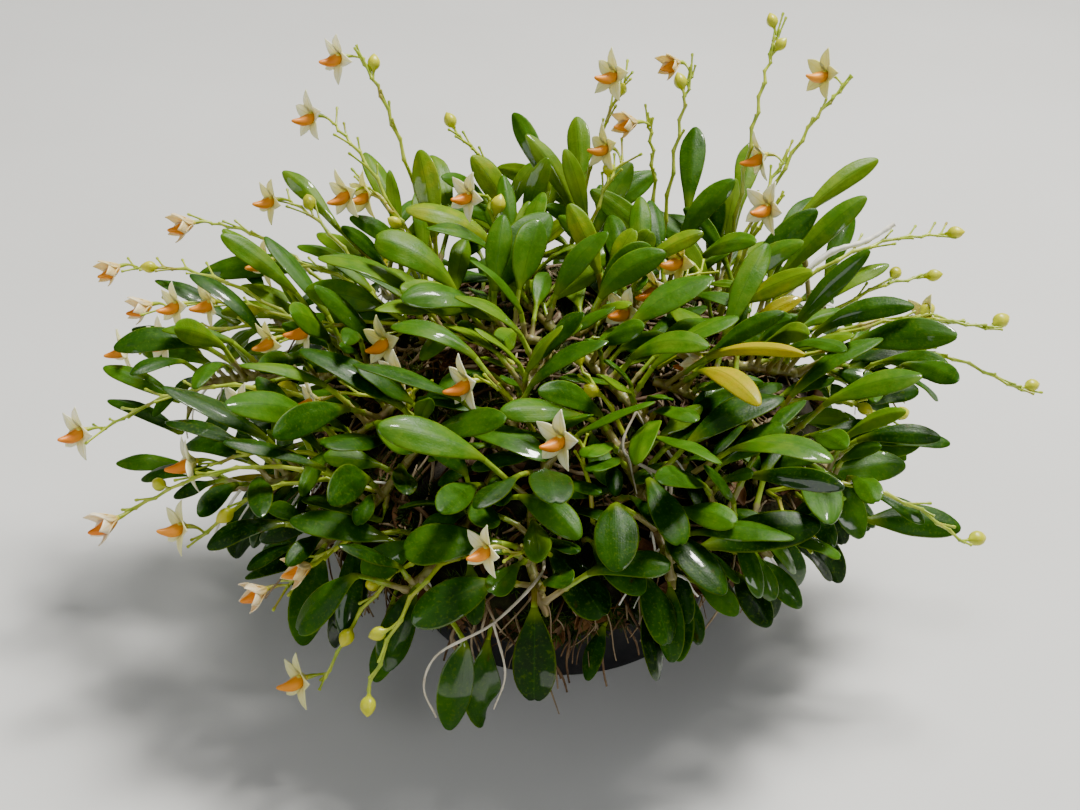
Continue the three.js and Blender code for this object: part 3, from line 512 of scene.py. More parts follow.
# foot azimuth and radius, then each stalk's tip and what it bears from the tip back:
# F an open flower, H a half-closed one and B a bud
SPRAYS = [
    ((125, 44), [((-41, 48, 100), "FB")]),
    ((133, 40), [((-47, 42, 88), "F")]),
    ((137, 30), [((-40, 30, 79), "FFB")]),
    ((145, 44), [((-57, 40, 71), "FB")]),
    ((149, 48), [((-75, 42, 65), "H")]),
    ((161, 49), [((-90, 32, 59), "HB")]),
    ((152, 35), [((-57, 28, 62), "F")]),
    ((164, 43), [((-82, 22, 55), "HFFB"), ((-85, 14, 50), "FF")]),
    ((168, 22), [((-53, 4, 58), "FF")]),
    ((205, 10), [((-31, 0, 62), "F")]),
    ((215, 30), [((-43, -12, 55), "F")]),
    ((184, 44), [((-58, -6, 50), "FB")]),
    ((210, 44), [((-65, -24, 47), "F")]),
    ((187, 49), [((-93, -6, 43), "F")]),
    ((216, 47), [((-68, -28, 37), "FB"), ((-83, -24, 37), "HB")]),
    ((236, 48), [((-50, -44, 33), "HHBB")]),
    ((246, 49), [((-42, -52, 18), "FBB"), ((-33, -62, 25), "BB")]),
    ((206, 34), [((-26, -12, 58), "FB")]),
    ((250, 20), [((-15, -24, 62), "F")]),
    ((278, 40), [((3, -36, 60), "F")]),
    ((268, 46), [((-9, -56, 50), "FB")]),
    ((296, 24), [((3, -18, 64), "BB")]),
    ((351, 19), [((31, -4, 59), "HB")]),
    ((14, 24), [((27, 14, 66), "FFF")]),
    ((37, 42), [((47, 40, 80), "F"), ((44, 28, 75), "F")]),
    ((88, 44), [((14, 46, 96), "FB")]),
    ((61, 44), [((28, 54, 94), "HB"), ((19, 46, 86), "H")]),
    ((84, 28), [((13, 36, 82), "FB")]),
    ((44, 47), [((47, 58, 101), "BB"), ((61, 52, 92), "F")]),
    ((118, 20), [((-15, 24, 80), "FB")]),
    ((12, 44), [((80, 14, 56), "FB"), ((86, 8, 58), "B")]),
    ((29, 44), [((80, 30, 67), "B")]),
    ((16, 49), [((75, 26, 60), "BB"), ((93, 4, 46), "B")]),
    ((349, 40), [((64, -10, 48), "BB")]),
    ((325, 47), [((75, -34, 36), "B"), ((42, -40, 42), "B")]),
    ((98, 43), [((-21, 46, 84), "B")]),
]


def stalk_point(stalk, share):
    step = min(math.floor(share * STALK_STEPS), STALK_STEPS - 1)
    ends = bend(stalk.foot, stalk.middle, stalk.tip, [step / STALK_STEPS, (step + 1) / STALK_STEPS])
    return ends[0] + (ends[1] - ends[0]) * (share * STALK_STEPS - step)


def make_bloom(stalk, sway, index, kind):
    share = 1 - (LAST_BLOOM + index * BLOOM_SPACING) / stalk.reach
    start = stalk_point(stalk, share)
    along = unit(stalk.tip - stalk.middle)
    level, upward = across(along)
    side = sway * (1 if index % 2 == 0 else -1)
    heading = math.radians(FACING_HEADING + draw_between(-FACING_SWING, FACING_SWING))
    pitch = math.radians(draw_between(-18, 14))
    facing = pointing(heading, pitch)
    if kind == "B":
        away = along + 0.7 * side * level + 0.3 * upward
    else:
        away = facing + 0.35 * along + 0.6 * side * across(facing)[0]
    away = unit(away + 0.25 * UP)
    centre = start + away * (PEDICEL_LENGTH * 0.5 if kind == "B" else PEDICEL_LENGTH)
    return SimpleNamespace(kind=kind, start=start, away=away, facing=facing, centre=centre)


def make_spray(row, shift):
    (azimuth, distance), stalks = row
    angle = math.radians(azimuth + draw_between(-shift, shift))
    foot = on_mound(angle, min(distance + draw_between(-shift, shift), MOUND_SHOULDER - 1), FOOT_GAP)
    spray = []
    for tip, bears in stalks:
        end = vec(*[value + draw_between(-TIP_SHIFT, TIP_SHIFT) * shift for value in tip])
        reach = float(np.linalg.norm(end - foot))
        middle = (foot + end) / 2
        middle[2] = max(middle[2], foot[2]) + STALK_ARCH * reach
        stalk = SimpleNamespace(foot=foot, middle=middle, tip=end, reach=reach)
        sway = -1 if draw() < 0.5 else 1
        stalk.blooms = [make_bloom(stalk, sway, index, kind) for index, kind in enumerate(bears)]
        spray.append(stalk)
    return spray


def bloom_beads(bloom):
    if bloom.kind == "B":
        return [beads(bloom.centre + bloom.away * BUD_LENGTH * 0.45, BEAD["bud"])]
    spread = SPREADS[bloom.kind]
    centre, facing = bloom.centre, bloom.facing
    level, upward = across(facing)
    places = []
    for turn in TEPAL_TURNS:
        outward = level * math.cos(turn) + upward * math.sin(turn)
        for share in (0.55, 0.95):
            length = TEPAL_LENGTH * share
            places.append(centre + outward * length * math.sin(spread) + facing * length * math.cos(spread))
    places += [centre + facing * LIP_LENGTH * share for share in (0.5, 1)]
    return [beads(centre, BEAD["disc"]), beads(places, BEAD["tepal"])]


def spray_bunch(spray, owner):
    groups = []
    for stalk in spray:
        steps = math.floor(stalk.reach / BEAD_STEP + 0.5)
        line = [stalk_point(stalk, step / steps) for step in range(steps + 1)]
        groups.append(beads(line, BEAD["stalk"], stalk.foot))
        for bloom in stalk.blooms:
            groups += bloom_beads(bloom)
    return bunch_of(groups, owner)


def spray_name(number):
    return f"spray_{number:02d}"


def place_spray(number, row):
    name = spray_name(number)
    return find_room(lambda shift: make_spray(row, shift), lambda spray: spray_bunch(spray, name), 0.1)


sprays = [place_spray(number, row) for number, row in enumerate(SPRAYS, 1)]
blooms = [bloom for spray in sprays for stalk in spray for bloom in stalk.blooms]
print(len(sprays), "sprays with", len(blooms), "flowers and buds")

# %% [markdown]
# ## Leaves
# The leaves that make the plant's outline are placed one by one, from the photo. The rest fill the dome by a
# rule: they rise steeply near the middle, lie lower towards the edge, and turn their upper face to the light.

# %% Where the leaves stand
TOWARDS_LIGHT = vec(0.15, -0.5, 1)
LEAN_IN = 0.35
STEM_BEADS = [0.2, 0.4, 0.6, 0.8, 1]
BLADE_BEADS = [0.1, 0.2, 0.3, 0.4, 0.5, 0.6, 0.7, 0.8, 0.88, 0.96]
ACROSS_BEADS = vec(-0.4, -0.2, 0, 0.2, 0.4)
# each leaf's neck, its tip and its width
OUTLINE_LEAVES = [
    ((-75, 6, 42), (-95, 12, 48), 6.5),
    ((-76, 0, 38), (-92, 5, 43), 6.5),
    ((-72, -10, 36), (-88, -9, 37), 6),
    ((-68, 26, 52), (-86, 30, 60), 6.5),
    ((-73, 17, 47), (-91, 21, 52), 6),
    ((-54, 30, 61), (-72, 35, 61), 7),
    ((-47, 39, 66), (-60, 48, 75), 6.5),
    ((-50, 22, 51), (-67, 28, 57), 6.5),
    ((-43, -34, 34), (-59, -37, 30), 6.5),
    ((-33, -38, 42), (-50, -33, 44), 8),
    ((-29, -50, 38), (-39, -54, 27), 7),
    ((-12, -54, 41), (-28, -58, 37), 7.5),
    ((-5, -57, 39), (-5, -62, 22), 7.5),
    ((-17, -59, 33), (-20, -65, 18), 7),
    ((-11, -49, 47), (-28, -50, 46), 8.5),
    ((-2, 46, 71), (-10, 59, 83), 6),
    ((5, 48, 69), (4, 62, 81), 6.5),
    ((-34, 40, 65), (-42, 54, 76), 6.5),
    ((-23, 42, 66), (-28, 57, 74), 6.5),
    ((28, 46, 66), (30, 61, 79), 7),
    ((39, 45, 67), (43, 60, 76), 7),
    ((50, 32, 71), (67, 41, 80), 6),
    ((48, 26, 65), (67, 34, 71), 7.5),
    ((52, 17, 55), (67, 25, 64), 7),
    ((58, -9, 42), (77, -8, 41), 5.5),
    ((47, -21, 41), (65, -19, 42), 7.5),
    ((58, -27, 36), (76, -27, 34), 7),
    ((9, -48, 55), (9, -61, 50), 9),
    ((15, -42, 56), (20, -55, 51), 7),
    ((18, -46, 47), (28, -57, 42), 7.5),
    ((14, -52, 43), (18, -61, 34), 7),
    ((21, -19, 53), (38, -15, 53), 7.5),
    ((54, 0, 46), (72, 2, 47), 7),
    ((56, 10, 50), (73, 14, 55), 7.5),
    ((-31, 9, 60), (-48, 15, 57), 8),
    ((-50, -21, 41), (-68, -20, 38), 7),
    ((44, 6, 52), (33, 12, 58), 6),
    ((38, 13, 55), (50, 18, 60), 5.5),
]
SHORTEST_STEM = 7
ARCH = 0.14
foot_spacing = 1.9
feet = []
foot_places = [
    (rhizome, rhizome_point(rhizome, step / 20)) for rhizome in range(len(RHIZOMES)) for step in range(21)
]


def foot_is_free(foot):
    return all(np.linalg.norm(other - foot) >= foot_spacing for other in feet)


def make_leaf(foot, neck, middle, tip, width, turn, rhizome):
    return SimpleNamespace(
        foot=foot, neck=neck, middle=middle, tip=tip, width=width, turn=turn, owner=shoot_name(rhizome)
    )


def blade_frames(leaf, shares):
    """Points along a blade's middle, with its sideways, upper-face and forward directions there."""
    share = np.asarray(shares, dtype=float)
    neck, middle, tip = leaf.neck, leaf.middle, leaf.tip
    points = bend(neck, middle, tip, share)
    along = unit((middle - neck) * (1 - share[:, None]) + (tip - middle) * share[:, None])
    outward = math.hypot(neck[0], neck[1])
    facing = TOWARDS_LIGHT - vec(LEAN_IN * neck[0] / outward, LEAN_IN * neck[1] / outward, 0)
    facing = unit(facing - along * (along @ facing)[:, None])
    facing = facing * math.cos(leaf.turn) + np.cross(along, facing) * math.sin(leaf.turn)
    return points, np.cross(facing, along), facing, along


def leaf_bunch(leaf):
    foot, neck = leaf.foot, leaf.neck
    stem = foot + (neck - foot) * vec(*STEM_BEADS)[:, None]
    points, side, _, _ = blade_frames(leaf, BLADE_BEADS)
    share = vec(*BLADE_BEADS)
    wide = np.where((share < 0.3) | (share > 0.9), 0.5 * leaf.width, leaf.width)
    sideways = ACROSS_BEADS[None, :, None] * wide[:, None, None] * side[:, None, :]
    blade = (points[:, None, :] + sideways).reshape(-1, 3)
    return bunch_of([beads(stem, BEAD["stem"], foot), beads(blade, BEAD["blade"], foot)], leaf.owner)


def outline_leaf(row, shift):
    neck, tip = (vec(*[value + draw_between(-shift, shift) for value in place]) for place in row[:2])
    nearest, best_foot, best_rhizome = math.inf, None, None
    for rhizome, foot in foot_places:
        distance = float(np.linalg.norm(foot - neck))
        if SHORTEST_STEM < distance < nearest and foot_is_free(foot):
            nearest, best_foot, best_rhizome = distance, foot, rhizome
    middle = (neck + tip) / 2
    middle[2] += ARCH * np.linalg.norm(tip - neck)
    return make_leaf(best_foot, neck, middle, tip, row[2], draw_between(-0.3, 0.3), best_rhizome)


# %% [markdown]
# The rule for the other leaves: a foot somewhere on a rhizome, a heading away from it, a rise that falls off
# towards the edge of the dome, and a blade that curls over. A leaf that finds no room is tried elsewhere.

# %% The leaves that fill the dome
FILL_TRIES = 20000
FILL_LEAVES = 126
REACH_LEFT, REACH_RIGHT, REACH_BACK, REACH_FRONT = 90, 80, 66, 62
CEILING = 76
CEILING_TILT = 0.22


def inside_outline(tip):
    wide = REACH_LEFT if tip[0] < 0 else REACH_RIGHT
    deep = REACH_FRONT if tip[1] < 0 else REACH_BACK
    return math.hypot(tip[0] / wide, tip[1] / deep) < 1 and tip[2] < CEILING + CEILING_TILT * tip[1]


def curl_over(neck, heading, rise, curl, length):
    """The middle and the tip of a blade that leaves its neck at a rise and curls down from it."""
    middle = neck + pointing(heading, rise) * length * 0.5
    return middle, middle + pointing(heading, rise - curl) * length * 0.5


def fill_leaf():
    rhizome = math.floor(draw() * len(RHIZOMES))
    share = 0.05 + 0.93 * draw()
    foot = rhizome_point(rhizome, share)
    ahead = rhizome_point(rhizome, share + 0.05)
    side = -1 if draw() < 0.5 else 1
    heading = math.atan2(ahead[1] - foot[1], ahead[0] - foot[0]) + side * draw_between(0.1, 2)
    steepness = 62 - 0.45 * math.hypot(foot[0], foot[1]) + 0.4 * foot[1]
    rise = math.radians(steepness + draw_between(-18, 18))
    curl = math.radians(draw_between(15, 55))
    length = draw_between(15, 23)
    neck = foot + pointing(heading, rise + 0.2) * draw_between(6, 14)
    middle, tip = curl_over(neck, heading, rise, curl, length)
    width = length * draw_between(0.32, 0.4)
    return make_leaf(foot, neck, middle, tip, width, draw_between(-0.5, 0.5), rhizome)


def grow(make, finish, wanted, tries, lowest_tip):
    """Try leaf after leaf, and keep those that stay inside the plant's outline and touch nothing."""
    grown = []
    for _ in range(tries):
        if len(grown) == wanted:
            break
        leaf = make()
        if inside_outline(leaf.tip) and leaf.tip[2] > lowest_tip and foot_is_free(leaf.foot):
            bunch = leaf_bunch(leaf)
            if has_room(bunch):
                bunches.append(bunch)
                feet.append(leaf.foot)
                grown.append(finish(leaf))
    return grown


leaves = []
for row in OUTLINE_LEAVES:
    leaf = find_room(lambda shift: outline_leaf(row, shift), leaf_bunch, 0.08)
    if leaf:
        feet.append(leaf.foot)
        leaves.append(leaf)
outline_count = len(leaves)
leaves += grow(fill_leaf, lambda leaf: leaf, FILL_LEAVES, FILL_TRIES, -math.inf)
print(outline_count, "outline leaves and", len(leaves) - outline_count, "others")

# %% [markdown]
# ## Do these places agree with the solids?
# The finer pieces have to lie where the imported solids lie. Each node's box gives a quick test: the leaves'
# tips and the sprays' ends that were just placed have to fall inside it.

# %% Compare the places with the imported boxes
BOX_PLAY = 0.6
tips = [(leaf.owner, leaf.tip) for leaf in leaves]
tips += [(spray_name(number), stalk.tip) for number, spray in enumerate(sprays, 1) for stalk in spray]
strays = 0
for name, tip in tips:
    low, high = (np.array(corner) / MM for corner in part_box(name))
    strays += int(np.any(tip < low - BOX_PLAY) or np.any(tip > high + BOX_PLAY))
print("places outside their packed box:", strays)

# %% [markdown]
# ## Materials: leaves
# The real leaves are thick and glossy, with a sunken midrib, fine lengthwise veins and a soft mottling. New
# leaves are yellow-green, older ones dark, and a few dying ones are yellow. Light and shade are painted into
# the tone as well: leaves high up and at the back are paler, and low ones at the front darker. A photo
# texture could be wrapped round each leaf, but nodes scale without blurring. The leaf mesh carries two kinds
# of
# numbers for them: a UV map with the place across and along the blade, and a tone for each leaf.

# %% Leaf material
def blend_colors(tree, factor, first, second):
    inputs = {0: factor, 6: first, 7: second}
    return add_node(tree, "Mix", inputs, data_type="RGBA").outputs[2]


def fade(tree, value, start, end, low=0.0, high=1.0):
    """Turn a value from start to end into one from low to high, smoothly."""
    inputs = {"Value": value, "From Min": start, "From Max": end, "To Min": low, "To Max": high}
    return add_node(tree, "MapRange", inputs, interpolation_type="SMOOTHSTEP").outputs["Result"]


def math_of(tree, operation, first, second=0.0):
    return add_node(tree, "Math", {0: first, 1: second}, operation=operation).outputs[0]


def bump_from(tree, height, strength, distance_mm, below=None):
    inputs = {"Height": height, "Strength": strength, "Distance": distance_mm * MM}
    if below is not None:
        inputs["Normal"] = below
    return add_node(tree, "Bump", inputs).outputs["Normal"]


def uv_shares(tree):
    """The piece's UV map, with its distance from the middle line and its share from foot to tip."""
    place = add_node(tree, "UVMap", {}, uv_map="leaf_place").outputs["UV"]
    parts = add_node(tree, "SeparateXYZ", {"Vector": place}).outputs
    from_middle = math_of(tree, "ABSOLUTE", math_of(tree, "SUBTRACT", parts["X"], 0.5))
    return place, from_middle, parts["Y"]


def tone_of(tree):
    return add_node(tree, "Attribute", {}, attribute_name="tone").outputs["Fac"]


# from the darkest green through yellow-green to the yellow of an old leaf
LEAF_STOPS = [
    (0.0, (0.004, 0.018, 0.0006)), (0.25, (0.014, 0.06, 0.0008)), (0.46, (0.042, 0.13, 0.0012)),
    (0.68, (0.135, 0.23, 0.002)), (0.84, (0.34, 0.32, 0.0)), (1.0, (0.42, 0.31, 0.0)),
]
leaf_material, tree = new_material("leaf_green")
leaf_place, from_middle, along_leaf = uv_shares(tree)
mottle = noise_of(tree, 230, 5, 0.6)
tone_here = math_of(tree, "ADD", tone_of(tree), fade(tree, mottle, 0.3, 0.7, -0.07, 0.07))
color = ramp_of(tree, tone_here, LEAF_STOPS)
# painted shade: the sunken midrib groove is coloured darker
midrib_shade = fade(tree, from_middle, 0.01, 0.035, 0.45, 0)
margin = fade(tree, from_middle, 0.455, 0.5, 0, 0.3)
leaf_base = fade(tree, along_leaf, 0, 0.22, 0.7, 0)
# pale speckle: partly the skin's own fine grain, partly a painted speckled sheen
speckle_and_sheen = fade(tree, noise_of(tree, 1700, 3, 0.6), 0.52, 0.68, 0, 0.22)
brown_spots = fade(tree, noise_of(tree, 260, 3, 0.5), 0.7, 0.8, 0, 0.75)
for cover, tint in (
    (midrib_shade, (0.02, 0.07, 0.004)),
    (margin, (0.19, 0.26, 0.006)),
    (leaf_base, (0.14, 0.21, 0.005)),
    (speckle_and_sheen, (0.12, 0.2, 0.003)),
    (brown_spots, (0.06, 0.03, 0.008)),
):
    color = blend_colors(tree, cover, color, tint)
stretched = add_node(tree, "Mapping", {"Vector": leaf_place, "Scale": (1, 0.2, 1)}).outputs["Vector"]
vein_inputs = {"Vector": stretched, "Scale": 4, "Distortion": 2.5, "Detail": 2}
veins = add_node(tree, "TexWave", vein_inputs, bands_direction="X").outputs["Fac"]
normal = bump_from(tree, veins, 0.1, 0.04)
normal = bump_from(tree, noise_of(tree, 2600, 3, 0.6), 0.7, 0.07, normal)
normal = bump_from(tree, noise_of(tree, 380, 2, 0.5), 0.35, 0.25, normal)
wet_patches = fade(tree, noise_of(tree, 75, 3, 0.5), 0.555, 0.58, 0, 0.9)
set_shader(tree, {
    "Base Color": color, "Normal": normal, "Roughness": fade(tree, mottle, 0.3, 0.75, 0.36, 0.56),
    "Specular IOR Level": 0.18, "Coat Weight": wet_patches, "Coat Roughness": 0.06,
    "Subsurface Weight": 0.1, "Subsurface Radius": (0.4, 1.0, 0.12), "Subsurface Scale": 0.7 * MM,
})
print("leaf material with", len(tree.nodes), "nodes")

# %% [markdown]
# ## Materials: stems, rhizomes and stalks
# The short stems are yellow-green, with a brown papery sheath near the foot. The flower stalks are a paler
# yellow-green. Noise along the object's own coordinates breaks up both colours.

# %% Stem, rhizome and stalk materials
def plain_stem(name, light, dark, stain, roughness, sheath=None):
    material, tree = new_material(name)
    tint = fade(tree, noise_of(tree, 320, 5, 0.6), 0.35, 0.68)
    patches = fade(tree, noise_of(tree, 120, 4, 0.65), 0.54, 0.66, 0, 0.8)
    color = blend_colors(tree, patches, blend_colors(tree, tint, light, dark), stain)
    if sheath:
        ragged = fade(tree, noise_of(tree, 240, 4, 0.6), 0.3, 0.7, -0.1, 0.1)
        height = math_of(tree, "ADD", uv_shares(tree)[2], ragged)
        color = blend_colors(tree, fade(tree, height, -0.34, -0.24, 0.85, 0), color, sheath)
    fibres = bump_from(tree, noise_of(tree, 1500, 4, 0.6), 0.4, 0.12)
    set_shader(tree, {
        "Base Color": color, "Normal": fibres, "Roughness": roughness,
        "Subsurface Weight": 0.1, "Subsurface Radius": (0.6, 0.8, 0.2), "Subsurface Scale": 0.6 * MM,
    })
    return material


stem_material = plain_stem(
    "stem_green", (0.3, 0.42, 0.03), (0.13, 0.25, 0.008), (0.2, 0.12, 0.03), 0.3, (0.3, 0.24, 0.11)
)
rhizome_material = plain_stem("rhizome_brown", (0.24, 0.25, 0.06), (0.14, 0.1, 0.035), (0.3, 0.2, 0.1), 0.45)
stalk_material = plain_stem("stalk_green", (0.46, 0.54, 0.04), (0.26, 0.38, 0.015), (0.34, 0.26, 0.05), 0.34)
print("stem materials ready")

# %% [markdown]
# ## Materials: flowers
# The tepals let light through: they are white to yellowish, with a faint darker line down the middle. The
# lip is solid orange and a little waxy. Subsurface scattering gives the soft inner glow, and a little
# transmission would too, but it costs more samples and the pieces are thin enough without it.

# %% Tepal, lip, column and bud materials
# colour at the tip, colour at the base and in the grain, colour of the middle line, roughness and glow
PETAL_FINISHES = {
    "tepal_pale": ((0.88, 0.87, 0.62), (0.72, 0.68, 0.16), (0.56, 0.54, 0.1), 0.38, 0.45),
    "tepal_blush": ((0.88, 0.74, 0.54), (0.8, 0.54, 0.18), (0.66, 0.4, 0.16), 0.38, 0.45),
    "lip_orange": ((0.86, 0.23, 0.0), (0.82, 0.33, 0.0), (0.68, 0.13, 0.0), 0.45, 0.1),
    "column_yellow": ((0.85, 0.72, 0.1), (0.7, 0.6, 0.06), (0.6, 0.5, 0.06), 0.4, 0.2),
    "bud_green": ((0.62, 0.58, 0.015), (0.46, 0.5, 0.01), (0.36, 0.4, 0.008), 0.36, 0.2),
}


def petal_material(name):
    pale, deep, line, roughness, glow = PETAL_FINISHES[name]
    material, tree = new_material(name)
    _, from_middle, from_base = uv_shares(tree)
    color = blend_colors(tree, fade(tree, from_base, 0, 0.75), deep, pale)
    color = blend_colors(tree, fade(tree, from_middle, 0.02, 0.08, 0.45, 0), color, line)
    grain = fade(tree, noise_of(tree, 900, 4, 0.6), 0.4, 0.65, 0, 0.3)
    for cover in (grain, fade(tree, tone_of(tree), 0, 1, 0, 0.7)):
        color = blend_colors(tree, cover, color, deep)
    crystals = bump_from(tree, noise_of(tree, 3200, 2, 0.5), 0.3, 0.06)
    set_shader(tree, {
        "Base Color": color, "Normal": crystals, "Roughness": roughness,
        "Subsurface Weight": glow, "Subsurface Radius": (1, 0.8, 0.5), "Subsurface Scale": 1.0 * MM,
    })
    return material


petals = {name: petal_material(name) for name in PETAL_FINISHES}
print(len(petals), "flower materials")

# %% [markdown]
# ## Materials: roots, moss, bark and pot
# Under the leaves lies a dark tangle: brown fibrous roots, moss, bark and dead leaf bits. The pale roots have
# a silvery skin with fine grain. The pot is moulded black plastic, which is satin with a very fine texture.

# %% Root, moss, bark, mix and pot materials
# colour stops, scale of the pattern, roughness, height of the bumps in mm and scale of the fine grain
GROUND_FINISHES = {
    "mound_humus": ([
        (0.3, (0.006, 0.005, 0.003)), (0.45, (0.022, 0.015, 0.008)),
        (0.56, (0.022, 0.026, 0.006)), (0.7, (0.06, 0.04, 0.02)),
    ], 190, 0.9, 0.7, 1400),
    "fibre_brown": (
        [(0.3, (0.03, 0.017, 0.008)), (0.5, (0.1, 0.055, 0.024)), (0.7, (0.2, 0.13, 0.065))],
        140, 0.75, 0.15, 1800,
    ),
    "root_tan": (
        [(0.3, (0.1, 0.06, 0.03)), (0.5, (0.25, 0.18, 0.1)), (0.7, (0.42, 0.35, 0.24))],
        160, 0.65, 0.15, 1900,
    ),
    "bark_bits": (
        [(0.3, (0.024, 0.013, 0.007)), (0.52, (0.085, 0.045, 0.02)), (0.7, (0.18, 0.11, 0.055))],
        240, 0.82, 0.3, 1300,
    ),
    "moss_green": (
        [(0.3, (0.012, 0.026, 0.004)), (0.5, (0.04, 0.075, 0.008)), (0.7, (0.12, 0.15, 0.022))],
        150, 0.8, 0.1, 1700,
    ),
    "root_pale": (
        [(0.3, (0.5, 0.4, 0.25)), (0.4, (0.86, 0.82, 0.7)), (0.7, (0.95, 0.94, 0.88))],
        260, 0.5, 0.12, 2200,
    ),
    "root_grey": (
        [(0.3, (0.2, 0.15, 0.09)), (0.45, (0.46, 0.41, 0.3)), (0.7, (0.66, 0.62, 0.5))],
        210, 0.6, 0.14, 2000,
    ),
    "dry_leaf_brown": (
        [(0.3, (0.04, 0.018, 0.007)), (0.5, (0.11, 0.05, 0.018)), (0.7, (0.22, 0.12, 0.045))],
        210, 0.72, 0.2, 1500,
    ),
    "potting_bark": (
        [(0.3, (0.03, 0.016, 0.008)), (0.5, (0.12, 0.065, 0.03)), (0.7, (0.26, 0.15, 0.08))],
        110, 0.88, 0.8, 900,
    ),
}


def ground_material(name):
    stops, scale, roughness, bump_mm, fine_scale = GROUND_FINISHES[name]
    material, tree = new_material(name)
    coarse = bump_from(tree, noise_of(tree, scale * 2, 6, 0.65), 0.6, bump_mm)
    fine = bump_from(tree, noise_of(tree, fine_scale, 4, 0.6), 0.5, bump_mm * 0.4, coarse)
    color = ramp_of(tree, noise_of(tree, scale, 8, 0.68), stops)
    set_shader(tree, {"Base Color": color, "Normal": fine, "Roughness": roughness})
    return material


ground = {name: ground_material(name) for name in GROUND_FINISHES}
pot_material, tree = new_material("pot_plastic")
dust = fade(tree, noise_of(tree, 60, 6, 0.65), 0.48, 0.75, 0, 0.35)
set_shader(tree, {
    "Base Color": blend_colors(tree, dust, (0.018, 0.018, 0.02), (0.07, 0.064, 0.055)),
    "Roughness": fade(tree, noise_of(tree, 90, 5, 0.6), 0.35, 0.7, 0.34, 0.55),
    "Normal": bump_from(tree, noise_of(tree, 2400, 2, 0.5), 0.25, 0.05),
})
print(len(ground), "ground materials and the pot's")

# %% [markdown]
# ## Three leaves, modelled once each
# A leaf is a short round stem that widens into a thick blade with a sunken midrib. Young and shaded leaves
# are narrow straps, most are ovals, and the ones at the front are rounder towards the tip, so three forms are
# modelled. Box modelling would do, but a leaf is one tube whose section changes: a circle is extruded station
# by station and resized at each one. The groove and the notch are then pressed in by moving vertices. Each
# form stands along the z axis, and its stem is the part below zero.

# %% Model the three leaf forms
LEAF_SIDES = 16
STEM_LONG = 10
BLADE_LONG = 18
BLADE_WIDE = 7
BLADE_THICK = 0.43
STEM_TOP = -0.2
# place along the stem, half width and half thickness, in mm
STEM_STATIONS = [
    (-10, 0.78, 0.78), (-9.4, 0.8, 0.8), (-8.7, 0.56, 0.56), (-5.6, 0.52, 0.52), (-5.1, 0.72, 0.7),
    (-4.5, 0.52, 0.52), (-1.6, 0.52, 0.48), (-0.4, 0.62, 0.47),
]
BLADE_SHARES = [0.04, 0.11, 0.19, 0.28, 0.37, 0.46, 0.55, 0.64, 0.73, 0.81, 0.88, 0.93, 0.965, 0.988, 1]
# half width of each form at those shares, as a part of its greatest half width
LEAF_FORMS = {
    "strap": [0.24, 0.36, 0.51, 0.68, 0.82, 0.92, 0.98, 1, 0.96, 0.86, 0.69, 0.52, 0.36, 0.21, 0.08],
    "oval": [0.26, 0.42, 0.6, 0.77, 0.9, 0.98, 1, 0.99, 0.93, 0.82, 0.66, 0.5, 0.35, 0.21, 0.09],
    "spoon": [0.24, 0.33, 0.45, 0.6, 0.75, 0.88, 0.96, 1, 0.99, 0.93, 0.8, 0.64, 0.46, 0.28, 0.12],
}


def leaf_stations(form):
    blade = []
    for share, width in zip(BLADE_SHARES, LEAF_FORMS[form]):
        thick = BLADE_THICK * min(1, 0.25 + 6 * (1.03 - share)) * (1 if share < 0.99 else 0.6)
        blade.append((share * BLADE_LONG, width * BLADE_WIDE / 2, thick))
    return STEM_STATIONS + blade


def edit_points(obj, move):
    """Move an object's vertices in code: move takes and returns an array of places."""
    places = np.empty(len(obj.data.vertices) * 3)
    obj.data.vertices.foreach_get("co", places)
    moved = move(places.reshape(-1, 3))
    obj.data.vertices.foreach_set("co", np.ascontiguousarray(moved).ravel())
    obj.data.update()


def extrude_stations(name, stations, sides):
    """A closed tube along z: each station is a height, a half width, a half thickness and a shift in y."""
    first = stations[0]
    tube = add_piece(bpy.ops.mesh.primitive_circle_add, name, vertices=sides, radius=1, fill_type="NGON")
    bpy.ops.object.mode_set(mode="EDIT")
    bpy.ops.mesh.select_all(action="SELECT")
    bpy.ops.transform.resize(value=(first[1], first[2], 1))
    bpy.ops.transform.translate(value=(0, 0, first[0]))
    for before, after in zip(stations, stations[1:]):
        step = (0, after[3] - before[3] if len(after) > 3 else 0, after[0] - before[0])
        bpy.ops.mesh.extrude_region_move(TRANSFORM_OT_translate={"value": step})
        bpy.ops.transform.resize(value=(after[1] / before[1], after[2] / before[2], 1))
    bpy.ops.mesh.select_all(action="SELECT")
    bpy.ops.mesh.normals_make_consistent(inside=False)
    bpy.ops.object.mode_set(mode="OBJECT")
    return tube


def lay_uv(obj, place_of):
    """A UV map from a rule that takes every vertex place and gives its across and along shares."""
    shares = place_of(np.array([vertex.co for vertex in obj.data.vertices]))
    layers = obj.data.uv_layers
    layer = layers[0] if layers else layers.new()
    layer.name = "leaf_place"
    loops = np.array([loop.vertex_index for loop in obj.data.loops])
    layer.data.foreach_set("uv", np.ascontiguousarray(shares[loops], dtype=np.float32).ravel())


def dress(piece, *materials, crease=None):
    """Shade a piece smooth, all over or up to a crease in degrees, and give it its materials."""
    select_only(piece)
    if crease:
        bpy.ops.object.shade_smooth_by_angle(angle=math.radians(crease))
    else:
        bpy.ops.object.shade_smooth()
    for material in materials:
        piece.data.materials.append(material)
    return piece


